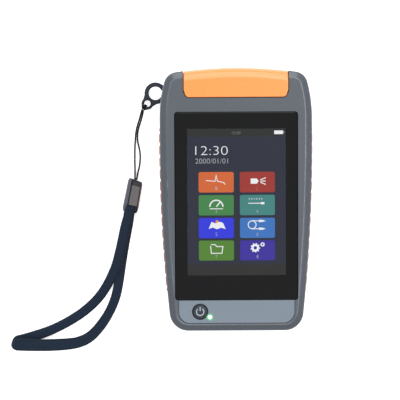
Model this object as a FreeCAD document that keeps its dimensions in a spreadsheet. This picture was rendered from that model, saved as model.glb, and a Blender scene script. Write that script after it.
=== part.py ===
import FreeCAD, Part
import math
import os

V = FreeCAD.Vector
os.makedirs("parts", exist_ok=True)
doc = FreeCAD.newDocument("reflectometer")

# ---------------------------------------------------------------------------
# Driving dimensions, millimetres. The instrument lies on its back: +Z points
# out of the screen, +Y to the dust cover over the optical ports, +X to the
# right of the screen. The origin is under the middle of the case.
# ---------------------------------------------------------------------------
DIMS = [
    ("half_width", 38.2), ("half_length", 66.2),
    ("bottom_corner", 9.5), ("side_sweep", 870.0), ("shoulder_sweep", 70.0),
    ("ear_corner", 7.0), ("crown", 210.0),
    ("wall", 2.6), ("back_level", 0.8), ("rear_height", 16.4), ("seal_gap", 0.6),
    ("front_height", 17.2), ("face_level", 35.0), ("face_slope", 3.2), ("face_drop", 1.9), ("face_round", 1.5), ("back_round", 4.0),
    ("front_wall", 3.4), ("back_wall", 2.2),
    ("glass_width", 61.6), ("glass_length", 94.2), ("glass_thick", 1.4), ("glass_corner", 1.5),
    ("glass_centre", -3.2), ("glass_recess", 1.8),
    ("lcd_width", 54.5), ("lcd_length", 83.5), ("lcd_thick", 1.6), ("lcd_centre", -3.75),
    ("panel_width", 58.3), ("panel_thick", 1.1), ("panel_recess", 1.2),
    ("button_radius", 3.85), ("button_bore", 4.1), ("button_x", -18.4), ("button_y", -56.2),
    ("lamp_x", -13.5), ("lamp_y", -58.9), ("pipe_radius", 1.0),
    ("boss_radius", 3.2), ("boss_radius_back", 3.6), ("insert_radius", 2.0), ("insert_length", 5.6),
    ("screw_radius", 1.2), ("screw_hole", 1.4), ("head_radius", 2.3), ("head_recess", 2.6),
    ("bay_half", 26.45), ("cover_half", 26.15), ("cover_length_up", 30.1),
    ("hinge_y", 61.4), ("hinge_z", 5.2), ("barrel_radius", 3.2), ("pin_radius", 1.0), ("pin_bore", 1.05),
    ("port_z", 20.1), ("port_pitch", 15.5), ("flange_radius", 5.3), ("flange_thick", 1.8),
    ("fc_barrel", 4.0), ("fc_bore", 2.75), ("sleeve_outer", 1.6), ("sleeve_bore", 1.25), ("ferrule_bore", 1.27),
    ("board_level", 24.0), ("board_thick", 1.6),
    ("cell_radius", 9.2), ("pack_length", 68.0),
    ("module_width", 46.0), ("module_depth", 28.0), ("module_height", 9.4),
    ("grip_low", 6.0), ("grip_height", 23.6), ("grip_proud", 0.45), ("grip_deep", 1.3),
    ("foot_width", 16.0), ("foot_depth", 6.0), ("foot_thick", 1.6),
    ("ring_low", 4.5), ("ring_thick", 2.2), ("ring_outer", 5.7), ("ring_inner", 3.45),
    ("post_radius", 0.6), ("band_radius", 1.35), ("string_radius", 0.375),
]
sheet = doc.addObject("Spreadsheet::Sheet", "dims")
for i, (key, value) in enumerate(DIMS, 1):
    sheet.set("A%d" % i, key)
    sheet.set("B%d" % i, repr(value))
    sheet.setAlias("B%d" % i, key)
doc.recompute()
D = dict(DIMS)
# names used by this script for one whole sub-part each: node -> object
NODES = {}


def ev(expr):
    """A size as a number: either a number, or an expression over the sheet."""
    if isinstance(expr, (int, float)):
        return float(expr)
    text = expr
    for key in sorted(D, key=len, reverse=True):
        text = text.replace("dims." + key, "(%r)" % D[key])
    total = sheet.evalExpression(text) if hasattr(sheet, "evalExpression") else None
    return float(total)


def bind(obj, prop, expr):
    if isinstance(expr, (int, float)):
        setattr(obj, prop, float(expr)) if "." not in prop else obj.setExpression(prop, repr(float(expr)))
    else:
        obj.setExpression(prop, expr)


def keep(obj, label):
    obj.Label = label
    NODES[label] = obj
    return obj


# ---------------------------------------------------------------------------
# Case outline: a chain of tangent arcs, the same centres for every offset.
# ---------------------------------------------------------------------------
def circle_meet(c1, r1, c2, r2, pick):
    dx, dy = c2[0] - c1[0], c2[1] - c1[1]
    dist = math.hypot(dx, dy)
    a = (r1 * r1 - r2 * r2 + dist * dist) / (2 * dist)
    h = math.sqrt(max(0.0, r1 * r1 - a * a))
    mx, my = c1[0] + a * dx / dist, c1[1] + a * dy / dist
    cands = [(mx + h * dy / dist, my - h * dx / dist), (mx - h * dy / dist, my + h * dx / dist)]
    return max(cands, key=pick)


SIDE_Y, SHOULDER_Y = 30.0, 41.0
HW, HL = D["half_width"], D["half_length"]
C_SIDE = (HW - D["side_sweep"], SIDE_Y)
C_SHOULDER = (HW - D["shoulder_sweep"], SHOULDER_Y)
C_CROWN = (0.0, HL - D["crown"])
C_BOTTOM = (C_SIDE[0] + math.sqrt((D["side_sweep"] - D["bottom_corner"]) ** 2
                                  - (-HL + D["bottom_corner"] - SIDE_Y) ** 2), -HL + D["bottom_corner"])
C_EAR = circle_meet(C_SHOULDER, D["shoulder_sweep"] - D["ear_corner"],
                    C_CROWN, D["crown"] - D["ear_corner"], lambda p: p[0])


def on(c, r, toward):
    dx, dy = toward[0] - c[0], toward[1] - c[1]
    n = math.hypot(dx, dy)
    return (c[0] + r * dx / n, c[1] + r * dy / n)


def outline_points(d):
    """Right half of the outline offset inwards by d, from the bottom middle to the crown."""
    pts = {}
    pts["b0"] = (C_BOTTOM[0], -HL + d)
    pts["b1"] = on(C_SIDE, D["side_sweep"] - d, C_BOTTOM)
    pts["s1"] = (HW - d, SIDE_Y)
    pts["v1"] = (HW - d, SHOULDER_Y)
    pts["e0"] = on(C_SHOULDER, D["shoulder_sweep"] - d, C_EAR)
    pts["e1"] = on(C_CROWN, D["crown"] - d, C_EAR)
    return pts


def arc(c, r, p, q):
    """Arc of a circle, anticlockwise from p to q."""
    a0 = math.atan2(p[1] - c[1], p[0] - c[0])
    a1 = math.atan2(q[1] - c[1], q[0] - c[0])
    while a1 <= a0:
        a1 += 2 * math.pi
    return Part.ArcOfCircle(Part.Circle(V(c[0], c[1], 0), V(0, 0, 1), r), a0, a1)


def line(p, q):
    return Part.LineSegment(V(p[0], p[1], 0), V(q[0], q[1], 0))


def mirror(p):
    return (-p[0], p[1])


def outline(d, top=None):
    """Closed outline, anticlockwise. With top, the end is cut straight at that Y."""
    p = outline_points(d)
    m = {k: mirror(v) for k, v in p.items()}
    geo = [(line(m["b0"], p["b0"]), None),
           (arc(C_BOTTOM, D["bottom_corner"] - d, p["b0"], p["b1"]), "dims.bottom_corner - %r" % d),
           (arc(C_SIDE, D["side_sweep"] - d, p["b1"], p["s1"]), "dims.side_sweep - %r" % d),
           (line(p["s1"], p["v1"]), None)]
    if top is None:
        geo += [(arc(C_SHOULDER, D["shoulder_sweep"] - d, p["v1"], p["e0"]), "dims.shoulder_sweep - %r" % d),
                (arc(C_EAR, D["ear_corner"] - d, p["e0"], p["e1"]), "dims.ear_corner - %r" % d),
                (arc(C_CROWN, D["crown"] - d, p["e1"], m["e1"]), "dims.crown - %r" % d),
                (arc(mirror(C_EAR), D["ear_corner"] - d, m["e1"], m["e0"]), "dims.ear_corner - %r" % d),
                (arc(mirror(C_SHOULDER), D["shoulder_sweep"] - d, m["e0"], m["v1"]), "dims.shoulder_sweep - %r" % d)]
    else:
        r = D["shoulder_sweep"] - d
        x = C_SHOULDER[0] + math.sqrt(r * r - (top - SHOULDER_Y) ** 2)
        geo += [(arc(C_SHOULDER, r, p["v1"], (x, top)), "dims.shoulder_sweep - %r" % d),
                (line((x, top), (-x, top)), None),
                (arc(mirror(C_SHOULDER), r, (-x, top), m["v1"]), "dims.shoulder_sweep - %r" % d)]
    geo += [(line(m["v1"], m["s1"]), None),
            (arc(mirror(C_SIDE), D["side_sweep"] - d, m["s1"], m["b1"]), "dims.side_sweep - %r" % d),
            (arc(mirror(C_BOTTOM), D["bottom_corner"] - d, m["b1"], m["b0"]), "dims.bottom_corner - %r" % d)]
    return geo


def side_x(y, d=0.0):
    """Half-width of the case at y, offset inwards by d, along the grip."""
    if y >= SIDE_Y:
        return HW - d
    return C_SIDE[0] + math.sqrt((D["side_sweep"] - d) ** 2 - (y - SIDE_Y) ** 2)


# ---------------------------------------------------------------------------
# PartDesign helpers
# ---------------------------------------------------------------------------
import Sketcher


def new_body(label):
    b = doc.addObject("PartDesign::Body", label)
    keep(b, label)
    return b


def new_sketch(b, name, role="XY_Plane", x=0.0, y=0.0, z=0.0):
    s = b.newObject("Sketcher::SketchObject", name)
    plane = [f for f in b.Origin.OriginFeatures if f.Role == role][0]
    s.AttachmentSupport = [(plane, "")]
    s.MapMode = "FlatFace"
    for axis, value in (("x", x), ("y", y), ("z", z)):
        s.setExpression("AttachmentOffset.Base." + axis, value if isinstance(value, str) else repr(float(value)))
    return s


def chain(s, geo):
    """Closed chain of arcs and lines; arcs carry a radius bound to the sheet."""
    first = s.GeometryCount
    s.addGeometry([g for g, e in geo], False)
    n = len(geo)

    def start_end(i):
        return 1, 2
    for i in range(n):
        j = (i + 1) % n
        s.addConstraint(Sketcher.Constraint("Coincident", first + i, 2, first + j, 1))
    for i, (g, e) in enumerate(geo):
        if e is not None:
            k = s.addConstraint(Sketcher.Constraint("Radius", first + i, g.Radius))
            s.setExpression("Constraints[%d]" % k, e)
    return s


def poly(s, pts):
    n = len(pts)
    first = s.GeometryCount
    s.addGeometry([line(pts[i], pts[(i + 1) % n]) for i in range(n)], False)
    for i in range(n):
        s.addConstraint(Sketcher.Constraint("Coincident", first + i, 2, first + (i + 1) % n, 1))
    return s


def rect(s, w, h):
    """Rectangle centred on the sketch origin, its sides bound to the sheet."""
    wn, hn = size(w), size(h)
    a, b_, c, d = (-wn / 2, -hn / 2), (wn / 2, -hn / 2), (wn / 2, hn / 2), (-wn / 2, hn / 2)
    f = s.GeometryCount
    poly(s, [a, b_, c, d])
    s.addConstraint([Sketcher.Constraint("Horizontal", f), Sketcher.Constraint("Vertical", f + 1),
                     Sketcher.Constraint("Horizontal", f + 2), Sketcher.Constraint("Vertical", f + 3),
                     Sketcher.Constraint("Symmetric", f, 1, f + 2, 1, -1, 1)])
    k = s.addConstraint(Sketcher.Constraint("DistanceX", f, 1, f, 2, wn))
    if isinstance(w, str):
        s.setExpression("Constraints[%d]" % k, w)
    k = s.addConstraint(Sketcher.Constraint("DistanceY", f + 1, 1, f + 1, 2, hn))
    if isinstance(h, str):
        s.setExpression("Constraints[%d]" % k, h)
    return s


def round_rect_geo(x0, y0, x1, y1, r, lower_only=False, bulge=0.0):
    """Rounded rectangle, anticlockwise; lower_only keeps the upper corners square."""
    g = []
    g.append((line((x0 + r, y0), (x1 - r, y0)), None))
    g.append((arc((x1 - r, y0 + r), r, (x1 - r, y0), (x1, y0 + r)), None))
    if lower_only:
        g.append((line((x1, y0 + r), (x1, y1)), None))
        g.append((line((x1, y1), (x0, y1)), None))
        g.append((line((x0, y1), (x0, y0 + r)), None))
    else:
        g.append((line((x1, y0 + r), (x1, y1 - r)), None))
        g.append((arc((x1 - r, y1 - r), r, (x1, y1 - r), (x1 - r, y1)), None))
        g.append((line((x1 - r, y1), (x0 + r, y1)), None))
        g.append((arc((x0 + r, y1 - r), r, (x0 + r, y1), (x0, y1 - r)), None))
        g.append((line((x0, y1 - r), (x0, y0 + r)), None))
    g.append((arc((x0 + r, y0 + r), r, (x0, y0 + r), (x0 + r, y0)), None))
    return g


def circles(s, pts, r):
    rn = size(r)
    for (x, y) in pts:
        f = s.GeometryCount
        s.addGeometry([Part.Circle(V(x, y, 0), V(0, 0, 1), rn)], False)
        k = s.addConstraint(Sketcher.Constraint("Radius", f, rn))
        if isinstance(r, str):
            s.setExpression("Constraints[%d]" % k, r)
    return s


def size(expr):
    """Value of a plain sum of sheet cells, for the first drawing of a sketch."""
    if isinstance(expr, (int, float)):
        return float(expr)
    total, sign = 0.0, 1.0
    for tok in expr.replace("+", " + ").replace("-", " - ").split():
        if tok == "+":
            sign = 1.0
        elif tok == "-":
            sign = -1.0
        else:
            factor = 1.0
            for part in tok.split("*"):
                factor *= D[part[5:]] if part.startswith("dims.") else float(part)
            total += sign * factor
            sign = 1.0
    return total


def pad(b, s, length, reverse=False, mid=False):
    f = b.newObject("PartDesign::Pad", s.Name + "_pad")
    f.Profile = s
    bind(f, "Length", length)
    f.Reversed = reverse
    if mid:
        f.Midplane = True
    s.Visibility = False
    doc.recompute()
    return f


def pocket(b, s, length, reverse=False, mid=False):
    before = b.Tip.Shape.Volume
    f = b.newObject("PartDesign::Pocket", s.Name + "_cut")
    f.Profile = s
    bind(f, "Length", length)
    f.Reversed = reverse
    if mid:
        f.Midplane = True
    doc.recompute()
    if not f.Shape.Volume < before - 1e-6:
        raise SystemExit("cut removed nothing: " + f.Name)
    return f


def edges_where(shape, test):
    names = []
    for i, e in enumerate(shape.Edges, 1):
        try:
            mid = e.valueAt((e.FirstParameter + e.LastParameter) / 2)
        except Exception:
            continue
        ends = [v.Point for v in e.Vertexes]
        if test(e, mid, ends):
            names.append("Edge%d" % i)
    return names


def flat_at(z):
    return lambda e, m, ends: abs(m.z - z) < 1e-6 and all(abs(q.z - z) < 1e-6 for q in ends)


def round_edges(b, test, radius, label, kind="PartDesign::Fillet"):
    base = b.Tip
    names = edges_where(base.Shape, test)
    if not names:
        raise SystemExit("no edges for " + label)
    f = b.newObject(kind, label)
    f.Base = (base, names)
    if kind.endswith("Fillet"):
        bind(f, "Radius", radius)
    else:
        bind(f, "Size", radius)
    doc.recompute()
    if "Invalid" in f.State or "Error" in f.State or f.Shape.isNull() or not f.Shape.isValid():
        b.removeObject(f)
        doc.removeObject(f.Name)
        b.Tip = base
        doc.recompute()
        print("left square:", label)
        return None
    return f


# ---------------------------------------------------------------------------
# Part primitives and booleans
# ---------------------------------------------------------------------------
def block(name, x0, y0, z0, lx, ly, lz):
    o = doc.addObject("Part::Box", name)
    bind(o, "Length", lx)
    bind(o, "Width", ly)
    bind(o, "Height", lz)
    for axis, value in (("x", x0), ("y", y0), ("z", z0)):
        o.setExpression("Placement.Base." + axis, value if isinstance(value, str) else repr(float(value)))
    return o


def rod(name, r, length, x, y, z, axis="z"):
    o = doc.addObject("Part::Cylinder", name)
    bind(o, "Radius", r)
    bind(o, "Height", length)
    rot = {"z": FreeCAD.Rotation(), "y": FreeCAD.Rotation(V(1, 0, 0), -90), "x": FreeCAD.Rotation(V(0, 1, 0), 90)}[axis]
    o.Placement = FreeCAD.Placement(V(0, 0, 0), rot)
    for a, value in (("x", x), ("y", y), ("z", z)):
        o.setExpression("Placement.Base." + a, value if isinstance(value, str) else repr(float(value)))
    return o


def cut(name, base, tool):
    o = doc.addObject("Part::Cut", name)
    o.Base, o.Tool = base, tool
    return o


def fuse(name, shapes):
    if len(shapes) == 1:
        return shapes[0]
    o = doc.addObject("Part::MultiFuse", name)
    o.Shapes = shapes
    return o


def group(name, shapes):
    """Separate identical solids that share one node."""
    o = doc.addObject("Part::Compound", name)
    o.Links = shapes
    return o


SCREWS = [(30.6, 44.5), (-30.6, 44.5), (31.4, -8.0), (-31.4, -8.0), (26.4, -56.6), (-26.4, -56.6)]
REAR_TOP = D["back_level"] + D["rear_height"]            # 17.2
FRONT_LOW = REAR_TOP + D["seal_gap"]                     # 17.8
FACE = D["face_level"]                                   # 35.0
CEILING = FACE - D["front_wall"]                         # 31.6
POST = (-35.55, 54.6)


def grip_region(side, inner, outer, y1, y0):
    """Closed strip along one side between two offsets, from y1 down to y0."""
    def pt(y, d):
        return (side * side_x(y, d), y)
    c = (side * C_SIDE[0], C_SIDE[1])
    ri, ro = D["side_sweep"] - inner, D["side_sweep"] - outer
    g = []
    if side > 0:
        g.append((arc(c, ro, pt(y0, outer), pt(SIDE_Y, outer)), None))
        g.append((line(pt(SIDE_Y, outer), pt(y1, outer)), None))
        g.append((line(pt(y1, outer), pt(y1, inner)), None))
        g.append((line(pt(y1, inner), pt(SIDE_Y, inner)), None))
        a = arc(c, ri, pt(y0, inner), pt(SIDE_Y, inner))
        g.append((a, "R"))
        g.append((line(pt(y0, inner), pt(y0, outer)), None))
    else:
        g.append((arc(c, ro, pt(SIDE_Y, outer), pt(y0, outer)), None))
        g.append((line(pt(y0, outer), pt(y0, inner)), None))
        a = arc(c, ri, pt(SIDE_Y, inner), pt(y0, inner))
        g.append((a, "R"))
        g.append((line(pt(SIDE_Y, inner), pt(y1, inner)), None))
        g.append((line(pt(y1, inner), pt(y1, outer)), None))
        g.append((line(pt(y1, outer), pt(SIDE_Y, outer)), None))
    return g


def strip(s, geo):
    """Chain in which an arc marked R runs against the chain's direction."""
    first = s.GeometryCount
    s.addGeometry([g for g, e in geo], False)
    n = len(geo)
    for i in range(n):
        j = (i + 1) % n
        end = 1 if geo[i][1] == "R" else 2
        begin = 2 if geo[j][1] == "R" else 1
        s.addConstraint(Sketcher.Constraint("Coincident", first + i, end, first + j, begin))
    return s


def slope_face(b, label):
    """Shallow bevel along the outline of the face, then its two edges rounded; a plain round edge if that fails."""
    base = b.Tip
    names = edges_where(base.Shape, flat_at(FACE))
    for flip in (False, True):
        f = b.newObject("PartDesign::Chamfer", label)
        f.Base = (base, names)
        f.ChamferType = 1
        bind(f, "Size", "dims.face_slope")
        bind(f, "Size2", "dims.face_drop")
        f.FlipDirection = flip
        doc.recompute()
        good = not ("Invalid" in f.State or "Error" in f.State or f.Shape.isNull() or not f.Shape.isValid())
        if good:
            top = max((e.BoundBox.XLength for e in f.Shape.Edges if abs(e.BoundBox.ZMin - FACE) < 1e-4 and abs(e.BoundBox.ZMax - FACE) < 1e-4), default=0)
            reach = max(abs(v.X) for v in f.Shape.Vertexes if abs(v.Z - FACE) < 1e-4)
            if reach < D["half_width"] - D["face_slope"] + 0.4:
                round_edges(b, flat_at(FACE), 2.2, label + "_crease")
                round_edges(b, flat_at(FACE - D["face_drop"]), "dims.face_round", label + "_edge")
                return f
        b.removeObject(f)
        doc.removeObject(f.Name)
        b.Tip = base
        doc.recompute()
    print("plain round edge:", label)
    return round_edges(b, flat_at(FACE), 3.4, label)


# ---------------------------------------------------------------------------
# Front shell: the screen half of the grey case
# ---------------------------------------------------------------------------
b = new_body("front_shell")
s = new_sketch(b, "fs_outline", z="dims.back_level + dims.rear_height + dims.seal_gap")
chain(s, outline(0.0))
pad(b, s, "dims.front_height")
# sloping rim round the face: a shallow bevel, its inner crease and its outer edge rounded off
slope_face(b, "fs_rim")
s = new_sketch(b, "fs_cavity", z="dims.back_level + dims.rear_height + dims.seal_gap")
chain(s, outline(D["wall"], top=50.2))
pocket(b, s, "dims.front_height - dims.front_wall", reverse=True)
s = new_sketch(b, "fs_bosses", z="dims.back_level + dims.rear_height + dims.seal_gap")
circles(s, SCREWS, "dims.boss_radius")
pad(b, s, "dims.front_height - dims.front_wall + 0.2")
s = new_sketch(b, "fs_insert_holes", z="dims.back_level + dims.rear_height + dims.seal_gap")
circles(s, SCREWS, "dims.insert_radius")
pocket(b, s, "dims.insert_length + 0.6", reverse=True)
# recess of the touch glass, window of the display behind it
s = new_sketch(b, "fs_glass_recess", y="dims.glass_centre", z="dims.face_level")
hw, hh = (D["glass_width"] + 0.3) / 2, (D["glass_length"] + 0.3) / 2
chain(s, round_rect_geo(-hw, -hh, hw, hh, D["glass_corner"] + 0.15))
pocket(b, s, "dims.glass_recess")
s = new_sketch(b, "fs_window", x=0.2, y="dims.lcd_centre", z="dims.face_level")
rect(s, "dims.lcd_width + 0.6", "dims.lcd_length + 0.6")
pocket(b, s, "dims.front_wall + 0.5")
# slot through which the display's ribbon turns back under it
s = new_sketch(b, "fs_ribbon_slot", z="dims.face_level")
poly(s, [(-9.5, -50.1), (9.5, -50.1), (9.5, -45.0), (-9.5, -45.0)])
pocket(b, s, "dims.front_wall + 0.5")
# recess of the key panel under the glass
s = new_sketch(b, "fs_panel_recess", z="dims.face_level")
pw = D["panel_width"] / 2 + 0.12
chain(s, round_rect_geo(-pw, -62.2, pw, -50.0, 5.9, lower_only=True))
pocket(b, s, "dims.panel_recess")
s = new_sketch(b, "fs_button_bore", x="dims.button_x", y="dims.button_y", z="dims.face_level")
circles(s, [(0, 0)], "dims.button_bore")
pocket(b, s, "dims.front_wall + 0.5")
s = new_sketch(b, "fs_lamp_bore", x="dims.lamp_x", y="dims.lamp_y", z="dims.face_level")
circles(s, [(0, 0)], "dims.pipe_radius")
pocket(b, s, "dims.front_wall + 0.5")
# bay for the optical ports, between the two ears
s = new_sketch(b, "fs_bay", z="dims.face_level")
poly(s, [(-D["bay_half"], 53.7), (D["bay_half"], 53.7), (D["bay_half"], 70.0), (-D["bay_half"], 70.0)])
pocket(b, s, "dims.front_height + 0.5")
# shallow seat of the cover's front flap, slightly narrower at its lower end
s = new_sketch(b, "fs_flap_seat", z="dims.face_level")
n0, n1, nr = 25.9, D["bay_half"], 2.5
chain(s, [(line((-n0 + nr, 50.9), (n0 - nr, 50.9)), None),
          (arc((n0 - nr, 50.9 + nr), nr, (n0 - nr, 50.9), (n0, 50.9 + nr)), None),
          (line((n0, 50.9 + nr), (n1, 54.5)), None), (line((n1, 54.5), (n1, 70)), None),
          (line((n1, 70), (-n1, 70)), None), (line((-n1, 70), (-n1, 54.5)), None),
          (line((-n1, 54.5), (-n0, 50.9 + nr)), None),
          (arc((-n0 + nr, 50.9 + nr), nr, (-n0, 50.9 + nr), (-n0 + nr, 50.9)), None)])
pocket(b, s, 2.2)
# seat and window of the port panel in the end wall
s = new_sketch(b, "fs_port_seat", role="XZ_Plane", z=-53.7)
poly(s, [(-24.2, 17.0), (24.2, 17.0), (24.2, 31.0), (-24.2, 31.0)])
pocket(b, s, 1.8, reverse=True)
s = new_sketch(b, "fs_port_window", role="XZ_Plane", z=-53.7)
poly(s, [(-21.5, 17.0), (21.5, 17.0), (21.5, 30.0), (-21.5, 30.0)])
pocket(b, s, 4.5, reverse=True)
s = new_sketch(b, "fs_port_screw_holes", role="XZ_Plane", z=-53.7)
circles(s, [(-22.8, 27.5), (22.8, 27.5)], 0.8)
pocket(b, s, 3.4, reverse=True)
# long shallow seats for the side grips
for side, word in ((-1, "left"), (1, "right")):
    s = new_sketch(b, "fs_grip_seat_" + word, z="dims.grip_low + dims.grip_height + 0.1")
    strip(s, grip_region(side, D["grip_deep"] + 0.02, -2.0, 35.8, -56.1))
    pocket(b, s, 12.0)

# ---------------------------------------------------------------------------
# Rear shell: the back half of the case, with the hinge ears and the strap pocket
# ---------------------------------------------------------------------------
b = new_body("rear_shell")
s = new_sketch(b, "rs_outline", z="dims.back_level")
chain(s, outline(0.0))
pad(b, s, "dims.rear_height")
round_edges(b, flat_at(D["back_level"]), "dims.back_round", "rs_back_round")
s = new_sketch(b, "rs_cavity", z="dims.back_level + dims.rear_height")
chain(s, outline(D["wall"], top=50.2))
pocket(b, s, "dims.rear_height - dims.back_wall")
s = new_sketch(b, "rs_bosses", z=2.8)
circles(s, SCREWS, "dims.boss_radius_back")
pad(b, s, REAR_TOP - 2.8)
# thick corner behind the strap pocket
s = new_sketch(b, "rs_pocket_block", z=2.8)
poly(s, [(-35.6, 46.8), (-31.0, 46.8), (-31.0, 50.4), (-35.6, 50.4)])
pad(b, s, 6.4)
# cradle ribs of the battery pack
s = new_sketch(b, "rs_ribs", z=2.8)
for x in (-20.4, 19.2):
    poly(s, [(x, -60.5), (x + 1.2, -60.5), (x + 1.2, 5.0), (x, 5.0)])
pad(b, s, 6.0)
s = new_sketch(b, "rs_screw_holes", z="dims.back_level + dims.rear_height")
circles(s, SCREWS, "dims.screw_hole")
pocket(b, s, "dims.rear_height + 0.5")
s = new_sketch(b, "rs_head_recesses", z=6.0)
circles(s, SCREWS, "dims.head_recess")
pocket(b, s, 6.0)
s = new_sketch(b, "rs_bay", z="dims.back_level + dims.rear_height")
poly(s, [(-D["bay_half"], 53.7), (D["bay_half"], 53.7), (D["bay_half"], 70.0), (-D["bay_half"], 70.0)])
pocket(b, s, REAR_TOP - 3.4)
s = new_sketch(b, "rs_hinge_gap", z="dims.back_level + dims.rear_height")
poly(s, [(-D["bay_half"], 58.0), (D["bay_half"], 58.0), (D["bay_half"], 70.0), (-D["bay_half"], 70.0)])
pocket(b, s, "dims.rear_height + 0.5")
s = new_sketch(b, "rs_port_seat", role="XZ_Plane", z=-53.7)
poly(s, [(-24.2, 8.4), (24.2, 8.4), (24.2, 18.0), (-24.2, 18.0)])
pocket(b, s, 1.8, reverse=True)
s = new_sketch(b, "rs_port_window", role="XZ_Plane", z=-53.7)
poly(s, [(-21.5, 9.4), (21.5, 9.4), (21.5, 18.0), (-21.5, 18.0)])
pocket(b, s, 4.5, reverse=True)
s = new_sketch(b, "rs_port_screw_holes", role="XZ_Plane", z=-53.7)
circles(s, [(-22.8, 11.5), (22.8, 11.5)], 0.8)
pocket(b, s, 3.4, reverse=True)
# seats of the four rubber feet and a shallow bare panel on the back
FEET = [(-17.0, -47.0), (17.0, -47.0), (-17.0, 43.0), (17.0, 43.0)]
s = new_sketch(b, "rs_foot_seats", z="dims.foot_thick")
for (x, y) in FEET:
    w, h = D["foot_width"] / 2 + 0.1, D["foot_depth"] / 2 + 0.1
    chain(s, round_rect_geo(x - w, y - h, x + w, y + h, 2.6))
pocket(b, s, 2.0)
s = new_sketch(b, "rs_back_panel", z=1.1)
chain(s, round_rect_geo(-24.0, -34.0, 24.0, 30.0, 3.0))
pocket(b, s, 1.0)
for side, word in ((-1, "left"), (1, "right")):
    s = new_sketch(b, "rs_grip_seat_" + word, z="dims.grip_low - 0.1")
    strip(s, grip_region(side, D["grip_deep"] + 0.02, -2.0, 35.8, -56.1))
    pocket(b, s, 12.0, reverse=True)
# side pocket in which the strap ring turns on its post
s = new_sketch(b, "rs_strap_pocket", z=7.6)
g = [(line((-45.0, 48.6), (-35.0, 48.6)), None), (arc((-35.0, 51.1), 2.5, (-35.0, 48.6), (-32.5, 51.1)), None),
     (line((-32.5, 51.1), (-32.5, 57.7)), None), (arc((-35.0, 57.7), 2.5, (-32.5, 57.7), (-35.0, 60.2)), None),
     (line((-35.0, 60.2), (-45.0, 60.2)), None), (line((-45.0, 60.2), (-45.0, 48.6)), None)]
chain(s, g)
pocket(b, s, 4.0)
s = new_sketch(b, "rs_post_hole", z=9.8)
circles(s, [POST], "dims.post_radius")
pocket(b, s, 6.8)
# hole of the hinge pin: blind in the left ear, open to the outside in the right ear
s = new_sketch(b, "rs_pin_hole", role="YZ_Plane", x="dims.hinge_y", y="dims.hinge_z", z=-30.2)
circles(s, [(0, 0)], "dims.pin_radius")
pocket(b, s, 75.0, reverse=True)

# ---------------------------------------------------------------------------
# Case seal in the parting line, open at the port bay
# ---------------------------------------------------------------------------
b = new_body("case_seal")
s = new_sketch(b, "cs_outer", z="dims.back_level + dims.rear_height")
chain(s, outline(1.5))
pad(b, s, "dims.seal_gap")
s = new_sketch(b, "cs_inner", z="dims.back_level + dims.rear_height + dims.seal_gap")
chain(s, outline(2.3))
pocket(b, s, "dims.seal_gap + 0.5")
s = new_sketch(b, "cs_bay", z="dims.back_level + dims.rear_height + dims.seal_gap")
poly(s, [(-27.4, 50.0), (27.4, 50.0), (27.4, 70.0), (-27.4, 70.0)])
pocket(b, s, "dims.seal_gap + 0.5")

# ---------------------------------------------------------------------------
# Ribbed side grips, one for each side
# ---------------------------------------------------------------------------
for side, word in ((-1, "left"), (1, "right")):
    b = new_body("side_grip_" + word)
    s = new_sketch(b, "sg_strip_" + word, z="dims.grip_low")
    strip(s, grip_region(side, D["grip_deep"], -D["grip_proud"], 35.7, -56.0))
    pad(b, s, "dims.grip_height")
    s = new_sketch(b, "sg_grooves_" + word, z="dims.grip_low + dims.grip_height")
    for k in range(14):
        y = 33.95 - 6.02 * k
        xi = side_x(y, 0.12)
        pts = [(xi, y - 0.75), (xi + 2.0, y - 0.95), (xi + 2.0, y + 0.95), (xi, y + 0.75)]
        poly(s, [(side * px, py) for px, py in (pts if side > 0 else pts[::-1])])
    pocket(b, s, "dims.grip_height + 0.5")
    s = new_sketch(b, "sg_tail_" + word, z="dims.grip_low + dims.grip_height")
    pts = [(side_x(-46.0, -0.12), -46.0), (side_x(-58.0, -0.12), -58.0), (side_x(-58.0, -3.0), -58.0),
           (side_x(-46.0, -3.0), -46.0)]
    poly(s, [(side * px, py) for px, py in (pts if side < 0 else pts[::-1])])
    pocket(b, s, "dims.grip_height + 0.5")

    def outer_upright(e, m, ends, side=side):
        if len(ends) != 2 or abs(ends[0].z - ends[1].z) < 15:
            return False
        return abs(m.x) > side_x(m.y, -0.3)
    round_edges(b, outer_upright, 0.35, "sg_rib_round_" + word)

# ---------------------------------------------------------------------------
# Touch glass, its adhesive frame, the display and the plate behind it
# ---------------------------------------------------------------------------
b = new_body("touch_glass")
s = new_sketch(b, "tg_plate", y="dims.glass_centre", z="dims.face_level - dims.glass_recess + 0.2")
hw, hh = D["glass_width"] / 2, D["glass_length"] / 2
chain(s, round_rect_geo(-hw, -hh, hw, hh, D["glass_corner"]))
pad(b, s, "dims.glass_thick")
round_edges(b, flat_at(34.8), 0.3, "tg_edge", kind="PartDesign::Chamfer")

b = new_body("glass_adhesive")
s = new_sketch(b, "ga_plate", y="dims.glass_centre", z="dims.face_level - dims.glass_recess")
chain(s, round_rect_geo(-hw + 0.3, -hh + 0.3, hw - 0.3, hh - 0.3, 1.2))
pad(b, s, 0.2)
s = new_sketch(b, "ga_opening", x=0.2, y="dims.lcd_centre", z="dims.face_level - dims.glass_recess + 0.2")
rect(s, "dims.lcd_width + 0.6", "dims.lcd_length + 0.6")
pocket(b, s, 0.5)

b = new_body("lcd_module")
s = new_sketch(b, "lcd_frame", x=0.2, y="dims.lcd_centre", z="dims.face_level - dims.front_wall")
rect(s, "dims.lcd_width", "dims.lcd_length")
pad(b, s, "dims.lcd_thick")
round_edges(b, lambda e, m, ends: len(ends) == 2 and abs(ends[0].z - ends[1].z) > 1.5, 0.6, "lcd_corners")

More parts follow.
